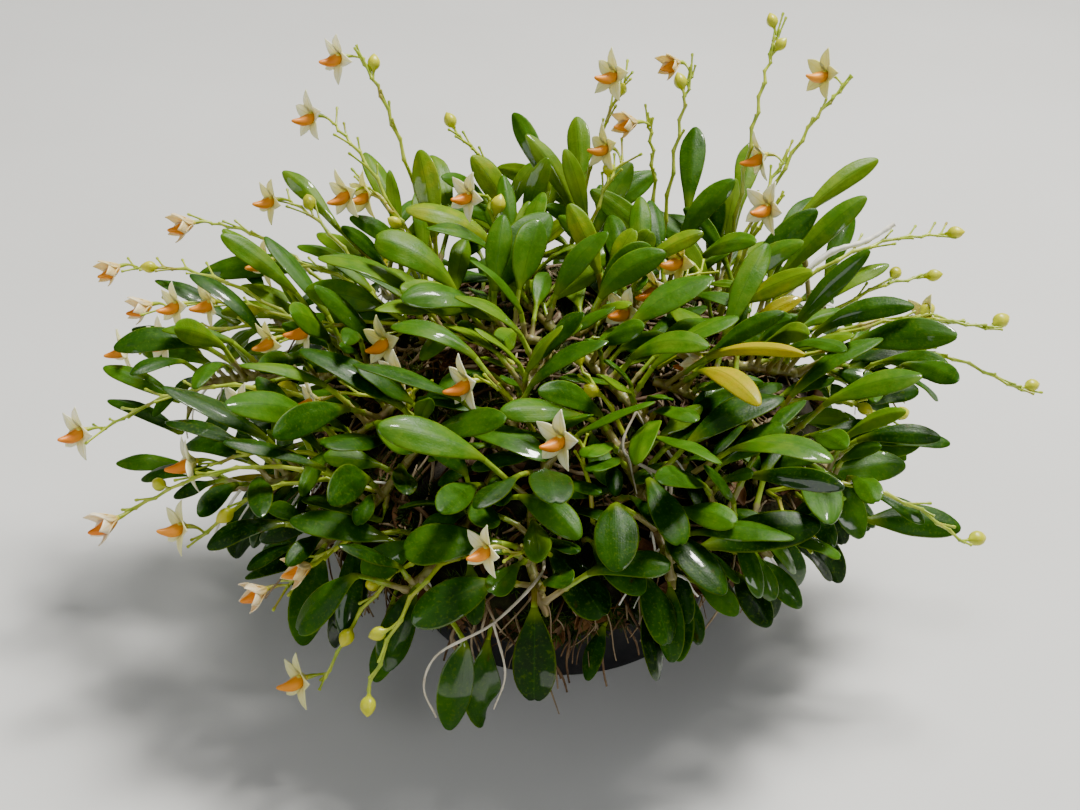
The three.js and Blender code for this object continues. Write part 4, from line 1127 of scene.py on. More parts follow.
def press_leaf(places, stations, notch_deep):
    """Even out the section, then press the midrib groove, the keel and the notch into the blade."""
    x, y, z = places.T.copy()
    half = np.interp(z, stations[:, 0], stations[:, 1])
    blade = np.clip(z / 4, 0, 1) * np.clip((18.2 - z) / 2, 0.25, 1)
    share = x / half
    spread = np.sign(share) * np.abs(share) ** 1.3
    x = np.where(z > 0, half * (share + (spread - share) * np.clip(z / 3, 0, 1)), x)
    side = np.abs(x)
    groove = np.exp(-((side / 0.36) ** 2)) * blade
    y_new = y + blade * (0.2 * side - 0.046 * side * side) - groove * np.where(y > 0, 0.3, 0.12)
    notch = np.exp(-((side / 0.45) ** 2)) * np.clip((z - 16.6) / 1.4, 0, 1)
    return np.stack([x, y_new, z - notch_deep * notch], axis=1)


def model_leaf(form):
    stations = leaf_stations(form)
    table = vec(*stations)
    leaf = extrude_stations("leaf_" + form, stations, LEAF_SIDES)

    def across_and_along(places):
        x, _, z = places.T
        return np.stack([0.5 + 0.5 * x / np.interp(z, table[:, 0], table[:, 1]), z / BLADE_LONG], axis=1)

    lay_uv(leaf, across_and_along)
    edit_points(leaf, lambda places: press_leaf(places, table, 0.45 if form == "spoon" else 0.12))
    dress(leaf, leaf_material, stem_material)
    for face in leaf.data.polygons:
        face.material_index = int(face.center.z < STEM_TOP)
    return leaf


leaf_masters = {form: model_leaf(form) for form in LEAF_FORMS}
print("faces of each leaf:", [len(leaf.data.polygons) for leaf in leaf_masters.values()])

# %% [markdown]
# ## Leaves along their curves
# Every copy of a leaf is bent along its own curve: the stem runs from the rhizome to the neck, and the blade
# follows a quadratic curve to its tip. Blender's Curve modifier bends a mesh too, but it needs one curve
# object for each leaf. Here the copy's vertices are read, placed and written back in one step.

# %% Bend a copy of the leaf along its curve
def copy_of(master, name):
    twin = master.copy()
    twin.data = master.data.copy()
    twin.name = name
    bpy.context.collection.objects.link(twin)
    return twin


def leaf_line(leaf, along_mm):
    """Places and directions for each height of the modelled leaf, from the foot to the tip."""
    foot, neck = leaf.foot, leaf.neck
    blade_share = np.clip(along_mm / BLADE_LONG, 0, 1)
    points, side, facing, along = blade_frames(leaf, blade_share)
    turn = (leaf.twist * blade_share)[:, None]
    side = side * np.cos(turn) + facing * np.sin(turn)
    stem_share = np.clip(1 + along_mm / STEM_LONG, 0, 1)[:, None]
    stem_points = foot + (neck - foot) * stem_share + leaf.sag * np.sin(math.pi * stem_share) * UP
    stem_along = unit(neck - foot + leaf.sag * math.pi * np.cos(math.pi * stem_share) * UP)
    turned = np.clip(stem_share * 1.6 - 0.6, 0, 1)
    along = np.where(along_mm[:, None] < 0, unit(stem_along * (1 - turned) + along * turned), along)
    side = unit(side - along * np.sum(along * side, axis=1, keepdims=True))
    points = np.where(along_mm[:, None] < 0, stem_points, points)
    return points, side, np.cross(side, along)


def bend_leaf(obj, leaf):
    wide = leaf.wide / BLADE_WIDE

    def move(places):
        x, y, z = places.T
        points, side, facing = leaf_line(leaf, np.clip(z, -STEM_LONG, BLADE_LONG))
        blade = np.clip(z / 3, 0, 1)
        ripple = leaf.ripple * np.sin(0.42 * z + leaf.phase) * (x / 3.5) * blade
        cup = leaf.cup * (x / 3.5) ** 2 * blade
        height = y * (1 + (0.5 * wide - 0.5) * blade) + ripple + cup
        width = x * (1 + (wide - 1) * blade) * leaf.stout ** (1 - blade)
        return (points + side * width[:, None] + facing * height[:, None]) * MM

    edit_points(obj, move)


def add_tone(obj, tone):
    layer = obj.data.attributes.new("tone", "FLOAT", "POINT")
    layer.data.foreach_set("value", np.full(len(obj.data.vertices), tone, dtype=np.float32))


TONE_MIDDLE = 0.29
TONE_SPREAD = 0.2
GREENEST, YELLOWEST = 0.04, 0.7
SLIM_LEFT_OF = -36
SLIM_RIGHT_OF = 26
SLIM_BEHIND = 14
SLIM_ABOVE = 50
SLIM_WIDTHS = (0.6, 0.84)
FULL_WIDTHS = (0.84, 1.04)


def leaf_tone(leaf):
    """Painted light and shade: yellow-green at the top and back where the light falls, dark green low at the
    front.
    """
    middle = leaf.middle
    # painted light: the tone rises with height and towards the back, where the light comes from
    lit = 0.17 * (middle[2] - 45) / 30 + 0.08 * middle[1] / 60
    tone = TONE_MIDDLE + lit + draw_between(-TONE_SPREAD, TONE_SPREAD)
    return min(YELLOWEST, max(GREENEST, tone))


def finish_leaf(leaf):
    leaf.sag = draw_between(-0.4, 0.9)
    leaf.ripple = draw_between(-0.3, 0.3)
    leaf.phase = draw_between(0, 6)
    leaf.cup = draw_between(-0.4, 0.35)
    leaf.twist = draw_between(-0.4, 0.4)
    leaf.stout = 1
    leaf.tone = leaf_tone(leaf)
    east, north, height = leaf.neck
    outer = east < SLIM_LEFT_OF or north > SLIM_BEHIND or (east > SLIM_RIGHT_OF and height > SLIM_ABOVE)
    leaf.wide = leaf.width * draw_between(*(SLIM_WIDTHS if outer else FULL_WIDTHS))
    slim = leaf.wide / np.linalg.norm(leaf.tip - leaf.neck)
    broad, narrow = slim > 0.4 and draw() < 0.6, slim < 0.33 and draw() < 0.8
    leaf.form = "spoon" if broad else "strap" if narrow else "oval"
    return leaf


for leaf in leaves:
    finish_leaf(leaf)
print("tones from", round(min(leaf.tone for leaf in leaves), 2))

# %% [markdown]
# ## Flowers turn to the light
# The flowers of one plant look the same way, towards the light. Each flower turns about the place where its
# solid stands, as far as its neighbours let it, so the leaves beside it stay clear.

# %% Turn the flowers as far as there is room
LOOK_AT = unit(vec(-0.76, -0.7, 0.14))


def turn_blooms(number, spray):
    name = spray_name(number)
    del bunches[next(index for index, bunch in enumerate(bunches) if bunch.owner == name)]
    turned = 0
    for stalk in spray:
        for bloom in stalk.blooms:
            if bloom.kind == "B":
                continue
            first = bloom.facing
            aim = unit(LOOK_AT + 0.3 * vec(draw() - 0.5, draw() - 0.5, draw() - 0.5))
            for share in (0.8, 0.6, 0.4, 0.2, 0):
                bloom.facing = unit(first * (1 - share) + aim * share)
                if share == 0 or has_room(bunch_of(bloom_beads(bloom), name)):
                    turned += share > 0
                    break
    bunches.append(spray_bunch(spray, name))
    return turned


print("flowers turned:", sum(turn_blooms(number, spray) for number, spray in enumerate(sprays, 1)))

# %% [markdown]
# ## Small leaves between the large ones
# The solids hold the large leaves. A real clump also has young, shorter leaves in the gaps and round the
# edge, so more draws fill the room that is left, with the same test that nothing overlaps.

# %% Small leaves in the gaps
YOUNG_LEAVES = 420
YOUNG_TRIES = 26000
YOUNG_STOUT = 0.8
YOUNG_PALER = 0.05
LOWEST_TIP = 8
CLOSER = 0.62
foot_spacing = 1.0
BEAD["blade"] = 0.5
BEAD["stem"] = 0.65
for bunch in bunches:
    bunch.sizes = bunch.sizes * CLOSER


def young_leaf():
    leaf = fill_leaf()
    foot, size = leaf.foot, draw_between(0.5, 0.95)
    reach = math.hypot(foot[0], foot[1])
    stem, tail = leaf.neck - foot, leaf.tip - leaf.middle
    heading = math.atan2(tail[1], tail[0])
    if reach > 40 and draw() < 0.6:
        heading = math.atan2(foot[1], foot[0]) + draw_between(-0.9, 0.9)
        rise = draw_between(-0.7, 0.5)
    else:
        rise = draw_between(0.15, 1.15)
    length = 2 * float(np.linalg.norm(tail)) * size
    leaf.neck = foot + pointing(heading, rise + 0.3) * float(np.linalg.norm(stem)) * draw_between(0.35, 0.9)
    leaf.middle, leaf.tip = curl_over(leaf.neck, heading, rise, draw_between(0.2, 0.9), length)
    leaf.width = length * draw_between(0.34, 0.52)
    return leaf


def finish_young(leaf):
    finish_leaf(leaf)
    leaf.tone = min(YELLOWEST, leaf.tone + YOUNG_PALER)
    leaf.stout = YOUNG_STOUT
    return leaf


young = grow(young_leaf, finish_young, YOUNG_LEAVES, YOUNG_TRIES, LOWEST_TIP)
print(len(young), "young leaves")

# %% [markdown]
# ## Seedling leaves in the moss
# Between the creeping shoots single leaves root in the moss itself, most of them round the edge, where they
# lean out over the pot. Their feet stand on the dome's top or side, and each joins the shoot nearest to it.

# %% Leaves that root in the moss
MOSS_LEAVES = 110
MOSS_TRIES = 7000
SEEDLING_STOUT = 0.75
rhizome_places = [
    (rhizome, rhizome_point(rhizome, share))
    for rhizome in range(len(RHIZOMES)) for share in np.linspace(0, 1, 7)
]


def moss_leaf():
    azimuth, fall = draw_between(0, 2 * math.pi), draw_between(-1, 1)
    edge = float(mound_edge(azimuth))
    if fall > 0:
        radius, drop = edge - 1.5 - 1.5 * fall, 2 + 6 * fall
        rise = draw_between(-0.9, 0.3)
    else:
        radius, drop = (edge - 2) * draw() ** 0.4, 0.4
        rise = draw_between(-0.1, 0.9)
    foot = on_mound(azimuth, radius, -drop)
    heading = azimuth + draw_between(-0.7, 0.7)
    length = draw_between(9, 18)
    neck = foot + pointing(heading, rise + 0.4) * draw_between(3, 7)
    middle, tip = curl_over(neck, heading, rise, draw_between(0.2, 0.9), length)
    rhizome = min(rhizome_places, key=lambda place: float(np.linalg.norm(place[1] - foot)))[0]
    width = length * draw_between(0.34, 0.48)
    return make_leaf(foot, neck, middle, tip, width, draw_between(-0.5, 0.5), rhizome)


def finish_seedling(leaf):
    finish_leaf(leaf)
    leaf.stout = SEEDLING_STOUT
    return leaf


seedlings = grow(moss_leaf, finish_seedling, MOSS_LEAVES, MOSS_TRIES, LOWEST_TIP)
young += seedlings
print(len(seedlings), "leaves in the moss")

# %% [markdown]
# ## A few old leaves
# Dying leaves turn yellow before they drop. The photo shows a few on the right, and a plant has them all
# round, so the leaves nearest to these places take the yellow end of the tones.

# %% Yellow leaves
YELLOW_PLACES = [
    (30, -26, 69), (35, -18, 70), (51, -3, 57), (43, 15, 59), (-36, 46, 52), (-60, -20, 40), (20, 58, 60),
]
YELLOW_TONES = (0.84, 0.94)
YELLOW_WIDTH = 0.72
for place in YELLOW_PLACES:
    green = [leaf for leaf in leaves + young if leaf.tone < YELLOW_TONES[0]]
    nearest = min(green, key=lambda leaf: float(np.linalg.norm(leaf.middle - vec(*place))))
    nearest.tone = draw_between(*YELLOW_TONES)
    nearest.wide *= YELLOW_WIDTH
print(len(YELLOW_PLACES), "yellow leaves")

# %% [markdown]
# ## Rhizomes as curves
# A rhizome is a long tube with a joint every few millimetres. A curve object with a round bevel makes such
# a tube, and each of its points has its own radius, which gives the joints. It is converted to a mesh at the
# end. The same helper makes the stalks and the roots later.

# %% Tubes from curves
def tube_along(name, strands, material, resolution=2):
    """One mesh from many strands: each a list of places and a list of radii, in mm."""
    curve = bpy.data.curves.new(name, "CURVE")
    curve.dimensions = "3D"
    curve.bevel_depth = MM
    curve.bevel_resolution = resolution
    curve.use_fill_caps = True
    for places, radii in strands:
        spline = curve.splines.new("POLY")
        spline.points.add(len(places) - 1)
        spline.points.foreach_set("co", np.c_[np.array(places) * MM, np.ones(len(places))].ravel())
        spline.points.foreach_set("radius", np.array(radii, dtype=float))
    tube = bpy.data.objects.new(name, curve)
    bpy.context.collection.objects.link(tube)
    select_only(tube)
    bpy.ops.object.convert(target="MESH")
    tube = bpy.context.object
    tube.data.materials.clear()
    return dress(tube, material)


def rhizome_strand(rhizome):
    _, start, end, _, _ = RHIZOMES[rhizome]
    count = int((end - start) * 2.5)
    places = [rhizome_point(rhizome, step / count) for step in range(count + 1)]
    radii = []
    for step in range(count + 1):
        travelled = (end - start) * step / count
        joint = math.exp(-(((travelled % 4.2) - 2.1) / 0.45) ** 2)
        taper = min(1, 0.35 + 0.5 * (count - step) / 4)
        radii.append(RHIZOME_RADIUS * (0.82 + 0.3 * joint) * taper)
    return places, radii


def join_pieces(pieces, name):
    select_only(*pieces)
    if len(pieces) > 1:
        bpy.ops.object.join()
    whole = bpy.context.view_layer.objects.active
    whole.name = name
    whole.data.name = name
    return whole


def give(piece, slot, *replaced):
    """Let the piece ride on the object's one body and stand for CAD nodes; slot is not used."""
    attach(piece, "root")
    if replaced:
        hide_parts(*replaced)
    return piece


print("rhizome points:", len(rhizome_strand(0)[0]))

# %% [markdown]
# ## Shoots
# Each shoot is a rhizome with all its leaves, as on the plant. Joining them keeps one piece for each solid.

# %% Build the shoots
def build_shoot(rhizome):
    name = shoot_name(rhizome)
    parts = [tube_along("rhizome", [rhizome_strand(rhizome)], rhizome_material)]
    for leaf in leaves + young:
        if leaf.owner != name:
            continue
        blade = copy_of(leaf_masters[leaf.form], "leaf")
        bend_leaf(blade, leaf)
        add_tone(blade, leaf.tone)
        parts.append(blade)
    return give(join_pieces(parts, "leafy_" + name), "leaf", name)


shoots = [build_shoot(rhizome) for rhizome in range(len(RHIZOMES))]
print("triangles in the shoots:", sum(len(shoot.data.polygons) * 2 for shoot in shoots))

# %% [markdown]
# ## One flower, modelled once
# The flower is a star of five pointed tepals round a small column, with a thick orange tongue in front. One
# tepal is shaped from a grid: its rows are drawn in to a pointed oval, the middle is cupped, and a Solidify
# modifier gives it its thin edge. The five are turned round the column, and every other one opens less.

# %% Model a tepal and turn five into a star
TEPAL_LONG = 4.8
TEPAL_WIDE = 2.7
TEPAL_ROWS = 12
TEPAL_COLUMNS = 6
TEPAL_THICK = 0.16
# half widths from base to tip, as a part of the greatest
TEPAL_SHARES = [0, 0.08, 0.25, 0.42, 0.6, 0.78, 0.92, 1]
TEPAL_FORM = [0.42, 0.62, 0.92, 1, 0.86, 0.54, 0.2, 0.03]


def add_sheet(name, columns, rows):
    return add_piece(
        bpy.ops.mesh.primitive_grid_add, name, x_subdivisions=columns, y_subdivisions=rows, size=1
    )


def thicken(sheet, thickness, offset):
    edge = sheet.modifiers.new("edge", "SOLIDIFY")
    edge.thickness = thickness
    edge.offset = offset
    bpy.ops.object.modifier_apply(modifier=edge.name)


def model_tepal(spread, curl, material):
    """A tepal on the y axis that opens by spread from the z axis, with its tip curled back by curl."""
    tepal = add_sheet("tepal", TEPAL_COLUMNS, TEPAL_ROWS)
    lay_uv(tepal, lambda places: places[:, :2] + 0.5)

    def tilt_at(share):
        return spread * np.clip(0.5 + 1.6 * share, 0, 1) + curl * np.clip(share - 0.55, 0, 1)

    def shape(places):
        share = places[:, 1] + 0.5
        width = np.interp(share, TEPAL_SHARES, TEPAL_FORM)
        x = places[:, 0] * TEPAL_WIDE * width
        tilt = tilt_at(share)
        step = TEPAL_LONG / TEPAL_ROWS
        lengths = np.linspace(0, 1, TEPAL_ROWS + 1)
        tilts = tilt_at(lengths)
        out = np.concatenate([[0], np.cumsum(np.sin(tilts[:-1]) * step)])
        up = np.concatenate([[0], np.cumsum(np.cos(tilts[:-1]) * step)])
        cup = 0.34 * (places[:, 0] * 2) ** 2 * width
        y = np.interp(share, lengths, out) + 0.35 - cup * np.cos(tilt)
        z = np.interp(share, lengths, up) + cup * np.sin(tilt)
        return np.stack([x, y, z], axis=1)

    edit_points(tepal, shape)
    thicken(tepal, TEPAL_THICK, 0)
    return dress(tepal, material)


def turn_piece(obj, angle):
    """Turn a piece's mesh about the z axis."""
    cos, sin = math.cos(angle), math.sin(angle)

    def move(places):
        x, y, z = places.T
        return np.stack([x * cos - y * sin, x * sin + y * cos, z], axis=1)

    edit_points(obj, move)


# height, half width, half thickness and shift of each station, in mm
LIP_STATIONS = [
    (0.1, 0.5, 0.5, 0), (0.5, 0.85, 0.8, -0.06), (1.1, 1.1, 0.98, -0.14), (1.8, 1.16, 1.0, -0.2),
    (2.5, 1.04, 0.9, -0.2), (3.1, 0.84, 0.74, -0.12), (3.7, 0.66, 0.58, 0.06), (4.3, 0.5, 0.42, 0.28),
    (4.7, 0.34, 0.28, 0.44), (4.9, 0.12, 0.1, 0.5),
]
COLUMN_STATIONS = [
    (-0.4, 0.42, 0.42, 0.25), (0, 0.5, 0.5, 0.3), (0.5, 0.42, 0.42, 0.42), (0.9, 0.5, 0.46, 0.55),
    (1.2, 0.44, 0.4, 0.62), (1.4, 0.24, 0.2, 0.66),
]
LIP_LEAN = -0.16


def model_flower(name, spread, curl, material):
    parts = []
    for number in range(5):
        tepal = model_tepal(spread if number % 2 == 0 else spread * 0.93, curl, material)
        turn_piece(tepal, number * 2 * math.pi / 5)
        parts.append(tepal)
    inner_parts = (("lip_orange", LIP_STATIONS, LIP_LEAN), ("column_yellow", COLUMN_STATIONS, 0))
    for part_name, stations, lean in inner_parts:
        part = extrude_stations(part_name, stations, 12)
        top = stations[-1][0]
        lay_uv(part, lambda places: np.stack([0.5 + 0.4 * places[:, 0], places[:, 2] / top], axis=1))
        edit_points(part, lambda places: places + np.outer(places[:, 2], (0, lean, 0)) + (0, 0.55 * lean, 0))
        parts.append(dress(part, petals[part_name]))
    return join_pieces(parts, name)


open_flower = model_flower("flower_open", SPREADS["F"], 0.7, petals["tepal_pale"])
half_flower = model_flower("flower_half", SPREADS["H"] * 1.15, -1.5, petals["tepal_blush"])
print("faces of an open flower:", len(open_flower.data.polygons))

# %% [markdown]
# ## One bud
# A bud is a pointed egg whose three outer tepals show as seams. It is extruded like the leaf, and the seams
# are pressed in.

# %% Model a bud
BUD_STATIONS = [
    (-0.5, 0.3, 0.3), (0.0, 0.48, 0.48), (0.45, 1.0, 1.0), (1.0, 1.3, 1.3), (1.6, 1.38, 1.38),
    (2.2, 1.22, 1.22), (2.7, 0.92, 0.92), (3.15, 0.52, 0.52), (3.4, 0.22, 0.22), (3.55, 0.06, 0.06),
]
bud = extrude_stations("bud_master", BUD_STATIONS, 18)
bud_top = BUD_STATIONS[-1][0]
lay_uv(bud, lambda places: np.stack([np.full(len(places), 0.2), places[:, 2] / bud_top], axis=1))


def press_seams(places):
    angle = np.arctan2(places[:, 1], places[:, 0])
    seam = 1 - 0.14 * np.exp(-((np.mod(angle, 2 * math.pi / 3) - math.pi / 3) / 0.22) ** 2)
    return places * np.stack([seam, seam, np.ones(len(seam))], axis=1)


edit_points(bud, press_seams)
dress(bud, petals["bud_green"])
print("bud faces:", len(bud.data.polygons))

# %% [markdown]
# ## Zigzag stalks
# A stalk grows in short steps that turn left and right, with an old flower stub at many of the joints. The
# path of the solid is kept, and small side steps are added to it. Each flower hangs on a thin curved pedicel
# that swells where it joins the flower.

# %% Build the sprays
STALK_RADIUS = 0.44
JOINT_STEP = 3.3
CROWDING = 1.45
ZIGZAG = 0.4
STUB_CHANCE = 0.85
FLOWER_SIZES = (1.06, 1.24)
BUD_SIZES = (0.9, 1.15)


def place_bloom(bloom):
    """A copy of the flower or bud, turned to face its own way."""
    if bloom.kind == "B":
        master, forward, centre = bud, bloom.away, bloom.centre - bloom.away * 0.2
    else:
        master = open_flower if bloom.kind == "F" else half_flower
        forward, centre = bloom.facing, bloom.centre
    level, upward = across(forward)
    size = draw_between(*(BUD_SIZES if bloom.kind == "B" else FLOWER_SIZES))
    tilt = draw_between(-0.25, 0.25)
    first = level * math.cos(tilt) + upward * math.sin(tilt)
    second = upward * math.cos(tilt) - level * math.sin(tilt)
    flare, phase = draw_between(-0.04, 0.04), draw_between(0, 6)

    def move(places):
        x, y, z = places.T
        wave = flare * (x * x + y * y) * np.cos(2 * np.arctan2(y, x) + phase)
        return (np.stack([x, y, z + wave], axis=1) * size @ vec(first, second, forward) + centre) * MM

    twin = copy_of(master, "bloom")
    edit_points(twin, move)
    add_tone(twin, draw_between(0, 0.9))
    return twin


def stalk_strand(stalk, sway):
    count = max(4, int(stalk.reach / JOINT_STEP))
    shares = [1 - (1 - step / count) ** CROWDING for step in range(count + 1)]
    level, _ = across(unit(stalk.tip - stalk.foot))
    joints = []
    for step, share in enumerate(shares):
        side = 0 if step == count else -1 if step % 2 else 1
        swing = ZIGZAG * sway * side * min(1, 3 * share)
        joints.append(stalk_point(stalk, share) + level * swing)
    places, radii = [], []
    for step in range(count):
        for part in (0, 0.12, 0.5, 0.88):
            places.append(joints[step] + (joints[step + 1] - joints[step]) * part)
            thick = STALK_RADIUS * (1.08 - 0.42 * (step + part) / count)
            radii.append(thick * (1.3 if part == 0 and step > 0 else 1.1 if part == 0.12 else 0.92))
    places.append(joints[-1])
    radii.append(STALK_RADIUS * 0.5)
    return places, radii, joints, level


def bloom_strand(bloom):
    """The pedicel, from the stalk round to the back of the flower."""
    start, centre = bloom.start, bloom.centre
    if bloom.kind == "B":
        shares = np.linspace(0, 1, 5)
        end = centre
        control = (start + end) / 2
        radii = [0.3, 0.26, 0.26, 0.32, 0.4]
    else:
        shares = np.linspace(0, 1, 9)
        end = centre + bloom.facing * 0.1
        control = centre - bloom.facing * 2.6
        radii = [0.36, 0.28, 0.26, 0.27, 0.3, 0.38, 0.47, 0.5, 0.42]
    return bend(start, control, end, shares), radii


def stub_strand(joint, along, side):
    """An old pedicel that stays on the stalk after its flower has dropped."""
    length = draw_between(2.4, 5.6)
    away = unit(along * 1.6 + side * draw_between(0.5, 1.1) + UP * 0.3)
    shares = [0, 0.35, 0.8, 0.93, 1]
    return [joint + away * length * share for share in shares], [0.3, 0.21, 0.22, 0.34, 0.26]


def build_spray(number, spray):
    strands = []
    for stalk in spray:
        places, radii, joints, level = stalk_strand(stalk, 1 if number % 2 else -1)
        strands.append((places, radii))
        for step in range(len(joints) // 3 + 1, len(joints)):
            if draw() < STUB_CHANCE:
                along = unit(joints[step] - joints[step - 1])
                strands.append(stub_strand(joints[step], along, level * (1 if step % 2 else -1)))
        strands += [bloom_strand(bloom) for bloom in stalk.blooms]
    parts = [tube_along("stalk", strands, stalk_material)]
    parts += [place_bloom(bloom) for stalk in spray for bloom in stalk.blooms]
    name = spray_name(number)
    return give(join_pieces(parts, "flowering_" + name), "spray", name)


built_sprays = [build_spray(number, spray) for number, spray in enumerate(sprays, 1)]
print("triangles in the sprays:", sum(len(item.data.polygons) * 2 for item in built_sprays))

# %% [markdown]
# ## The dome of moss, bark and roots
# The dome fills the pot's top and spills over the rim. It could be sculpted from a sphere by hand; here a
# sphere's rings are laid along the dome's section by the same formula that placed the leaves, and a Displace
# modifier with a cloud texture roughens it. Mosses and bark then go on top as real pieces.

# %% Build the dome
DOME_RINGS = 72
DOME_SEGMENTS = 160
# shares of the way from the top round to the middle of the underside, where the section turns
DOME_SECTION = [0.66, 0.72, 0.79, 0.86, 0.92]
INNER_RADIUS = 43.5
UNDER_RADIUS = 42.8
UNDER_HEIGHT = 40.3

dome = add_piece(
    bpy.ops.mesh.primitive_uv_sphere_add, "moss_dome",
    segments=DOME_SEGMENTS, ring_count=DOME_RINGS, radius=1,
)


def lay_dome(places):
    angle = np.arctan2(places[:, 1], places[:, 0])
    share = np.arccos(np.clip(places[:, 2], -1, 1)) / math.pi
    edge = mound_edge(angle)
    edge_height = mound_height(edge * np.cos(angle), edge * np.sin(angle))
    drop = 3 + 2 * np.sin(4 * angle + 2)
    stops = vec(0, *DOME_SECTION, 1)
    zero = 0 * edge
    radii = np.stack([zero, edge - 2, edge, edge - 1.5, INNER_RADIUS + zero, UNDER_RADIUS + zero, zero])
    heights = np.stack([
        zero, zero, edge_height - 3, edge_height - 6 - drop,
        np.minimum(39.3, edge_height - 6), UNDER_HEIGHT + zero, UNDER_HEIGHT + zero,
    ])
    step = np.clip(np.searchsorted(stops, share, side="right") - 1, 0, len(stops) - 2)
    part = (share - stops[step]) / (stops[step + 1] - stops[step])
    pick = np.arange(len(share))
    radius = radii[step, pick] * (1 - part) + radii[step + 1, pick] * part
    height = heights[step, pick] * (1 - part) + heights[step + 1, pick] * part
    x, y = radius * np.cos(angle), radius * np.sin(angle)
    on_top = mound_height(x, y)
    near_edge = mound_height((edge - 2) * np.cos(angle), (edge - 2) * np.sin(angle))
    fall = near_edge * (1 - part) + heights[2] * part
    height = np.where(step == 0, on_top, np.where(step == 1, fall, height))
    return np.stack([x, y, height], axis=1) * MM


edit_points(dome, lay_dome)
clouds = bpy.data.textures.new("moss_clouds", "CLOUDS")
clouds.noise_scale = 2.6 * MM
clouds.noise_depth = 5
rough = dome.modifiers.new("moss_relief", "DISPLACE")
rough.texture = clouds
rough.texture_coords = "LOCAL"
rough.strength = 2.4 * MM
rough.mid_level = 0.66
bpy.ops.object.modifier_apply(modifier=rough.name)
give(dress(dome, ground["mound_humus"]), "mound", "root_mound")
print("dome vertices:", len(dome.data.vertices))

# %% [markdown]
# ## Moss, bark bits and dead leaves on the dome
# Between the leaves the real ground is a dark litter: scraps of bark, dry leaves and patches of moss. One
# chip, one dry leaf and one tuft of moss are modelled, and a hundred or more copies of each are laid on the
# dome, turned every way. Tufts stand in patches, and tufts and chips are pressed a little into the ground.

# %% Model a bark chip, a dry leaf and a moss tuft
CREASE = 50
DRY_THICK = 0.22
LEAFLETS = 11


def model_chip():
    chip = add_piece(bpy.ops.mesh.primitive_cube_add, "chip_master", size=1)
    bpy.ops.object.mode_set(mode="EDIT")
    bpy.ops.mesh.select_all(action="SELECT")
    bpy.ops.mesh.subdivide(number_cuts=3)
    bpy.ops.transform.resize(value=(5, 2.6, 0.9))
    bpy.ops.object.mode_set(mode="OBJECT")

    def splinter(places):
        x, y, z = places.T
        ragged = 0.45 * np.sin(3.1 * x + 1) + 0.3 * np.sin(5.3 * y + 2 * x)
        taper = 1 - 0.35 * (x / 2.5) ** 2
        return np.stack([x + 0.5 * np.sin(4 * y), y * taper + 0.2 * ragged, z * (0.8 + 0.4 * ragged)], axis=1)

    edit_points(chip, splinter)
    return dress(chip, ground["bark_bits"], crease=CREASE)


def model_dry_leaf():
    dry = add_sheet("dry_leaf_master", 6, 16)

    def curl(places):
        share = places[:, 1] + 0.5
        width = np.sin(math.pi * np.clip(share, 0.03, 0.97)) ** 0.8
        x = places[:, 0] * 4.4 * width
        z = 0.32 * x * x * (0.4 + share) + 1.4 * (share - 0.5) ** 2 + 0.2 * np.sin(6 * share + 2 * x)
        return np.stack([x, (share - 0.5) * 11, z], axis=1)

    edit_points(dry, curl)
    thicken(dry, DRY_THICK, -1)
    return dress(dry, ground["dry_leaf_brown"])


def model_tuft():
    """Pointed leaflets that lean outwards from one point."""
    leaflets = []
    for number in range(LEAFLETS):
        leaflet = add_piece(
            bpy.ops.mesh.primitive_cone_add, "leaflet",
            vertices=3, radius1=0.3, radius2=0, depth=2.1, location=(0, 0, 1.05),
        )
        bpy.ops.object.transform_apply(location=True)
        angle, lean = number * 2.4, 0.25 + 0.09 * number

        def lay(places):
            x, y, z = places.T
            out = z * math.sin(lean) + 0.12 * z * z
            east, north = x * 0.8 + out * math.cos(angle), y * 0.8 + out * math.sin(angle)
            return np.stack([east, north, z * math.cos(lean)], axis=1)

        edit_points(leaflet, lay)
        leaflets.append(leaflet)
    return dress(join_pieces(leaflets, "tuft_master"), ground["moss_green"])


ground_masters = [model_chip(), model_dry_leaf(), model_tuft()]
print("faces of chip, dry leaf and tuft:", [len(master.data.polygons) for master in ground_masters])

# %% [markdown]
# ## Lay the litter
# Copies as separate objects would be slow, so the vertices and faces of all copies of one master go into one
# mesh: the master's faces are repeated with their numbers moved on.

# %% Scatter copies over the dome
CHIPS = 300
DRY_LEAVES = 110
TUFTS = 1600
ON_TOP = 0.6


def dome_normal(x, y):
    slope_x = float(mound_height(x + 0.5, y) - mound_height(x - 0.5, y))
    slope_y = float(mound_height(x, y + 0.5) - mound_height(x, y - 0.5))
    return unit(vec(-slope_x, -slope_y, 1))


def ground_place(sink):
    """A place on the dome or on its side, with the direction that stands out from the ground there."""
    angle = draw_between(0, 2 * math.pi)
    east, north = math.cos(angle), math.sin(angle)
    edge = float(mound_edge(angle))
    if draw() < ON_TOP:
        place = on_mound(angle, (edge - 1.5) * math.sqrt(draw()))
        normal = dome_normal(place[0], place[1])
        return place - normal * sink, normal
    top = on_mound(angle, edge)[2]
    fall = draw()
    radius = edge - 1.5 * fall - sink
    normal = unit(vec(east, north, 0.7 - 1.1 * fall))
    return vec(radius * east, radius * north, top - 2 - fall * 8), normal


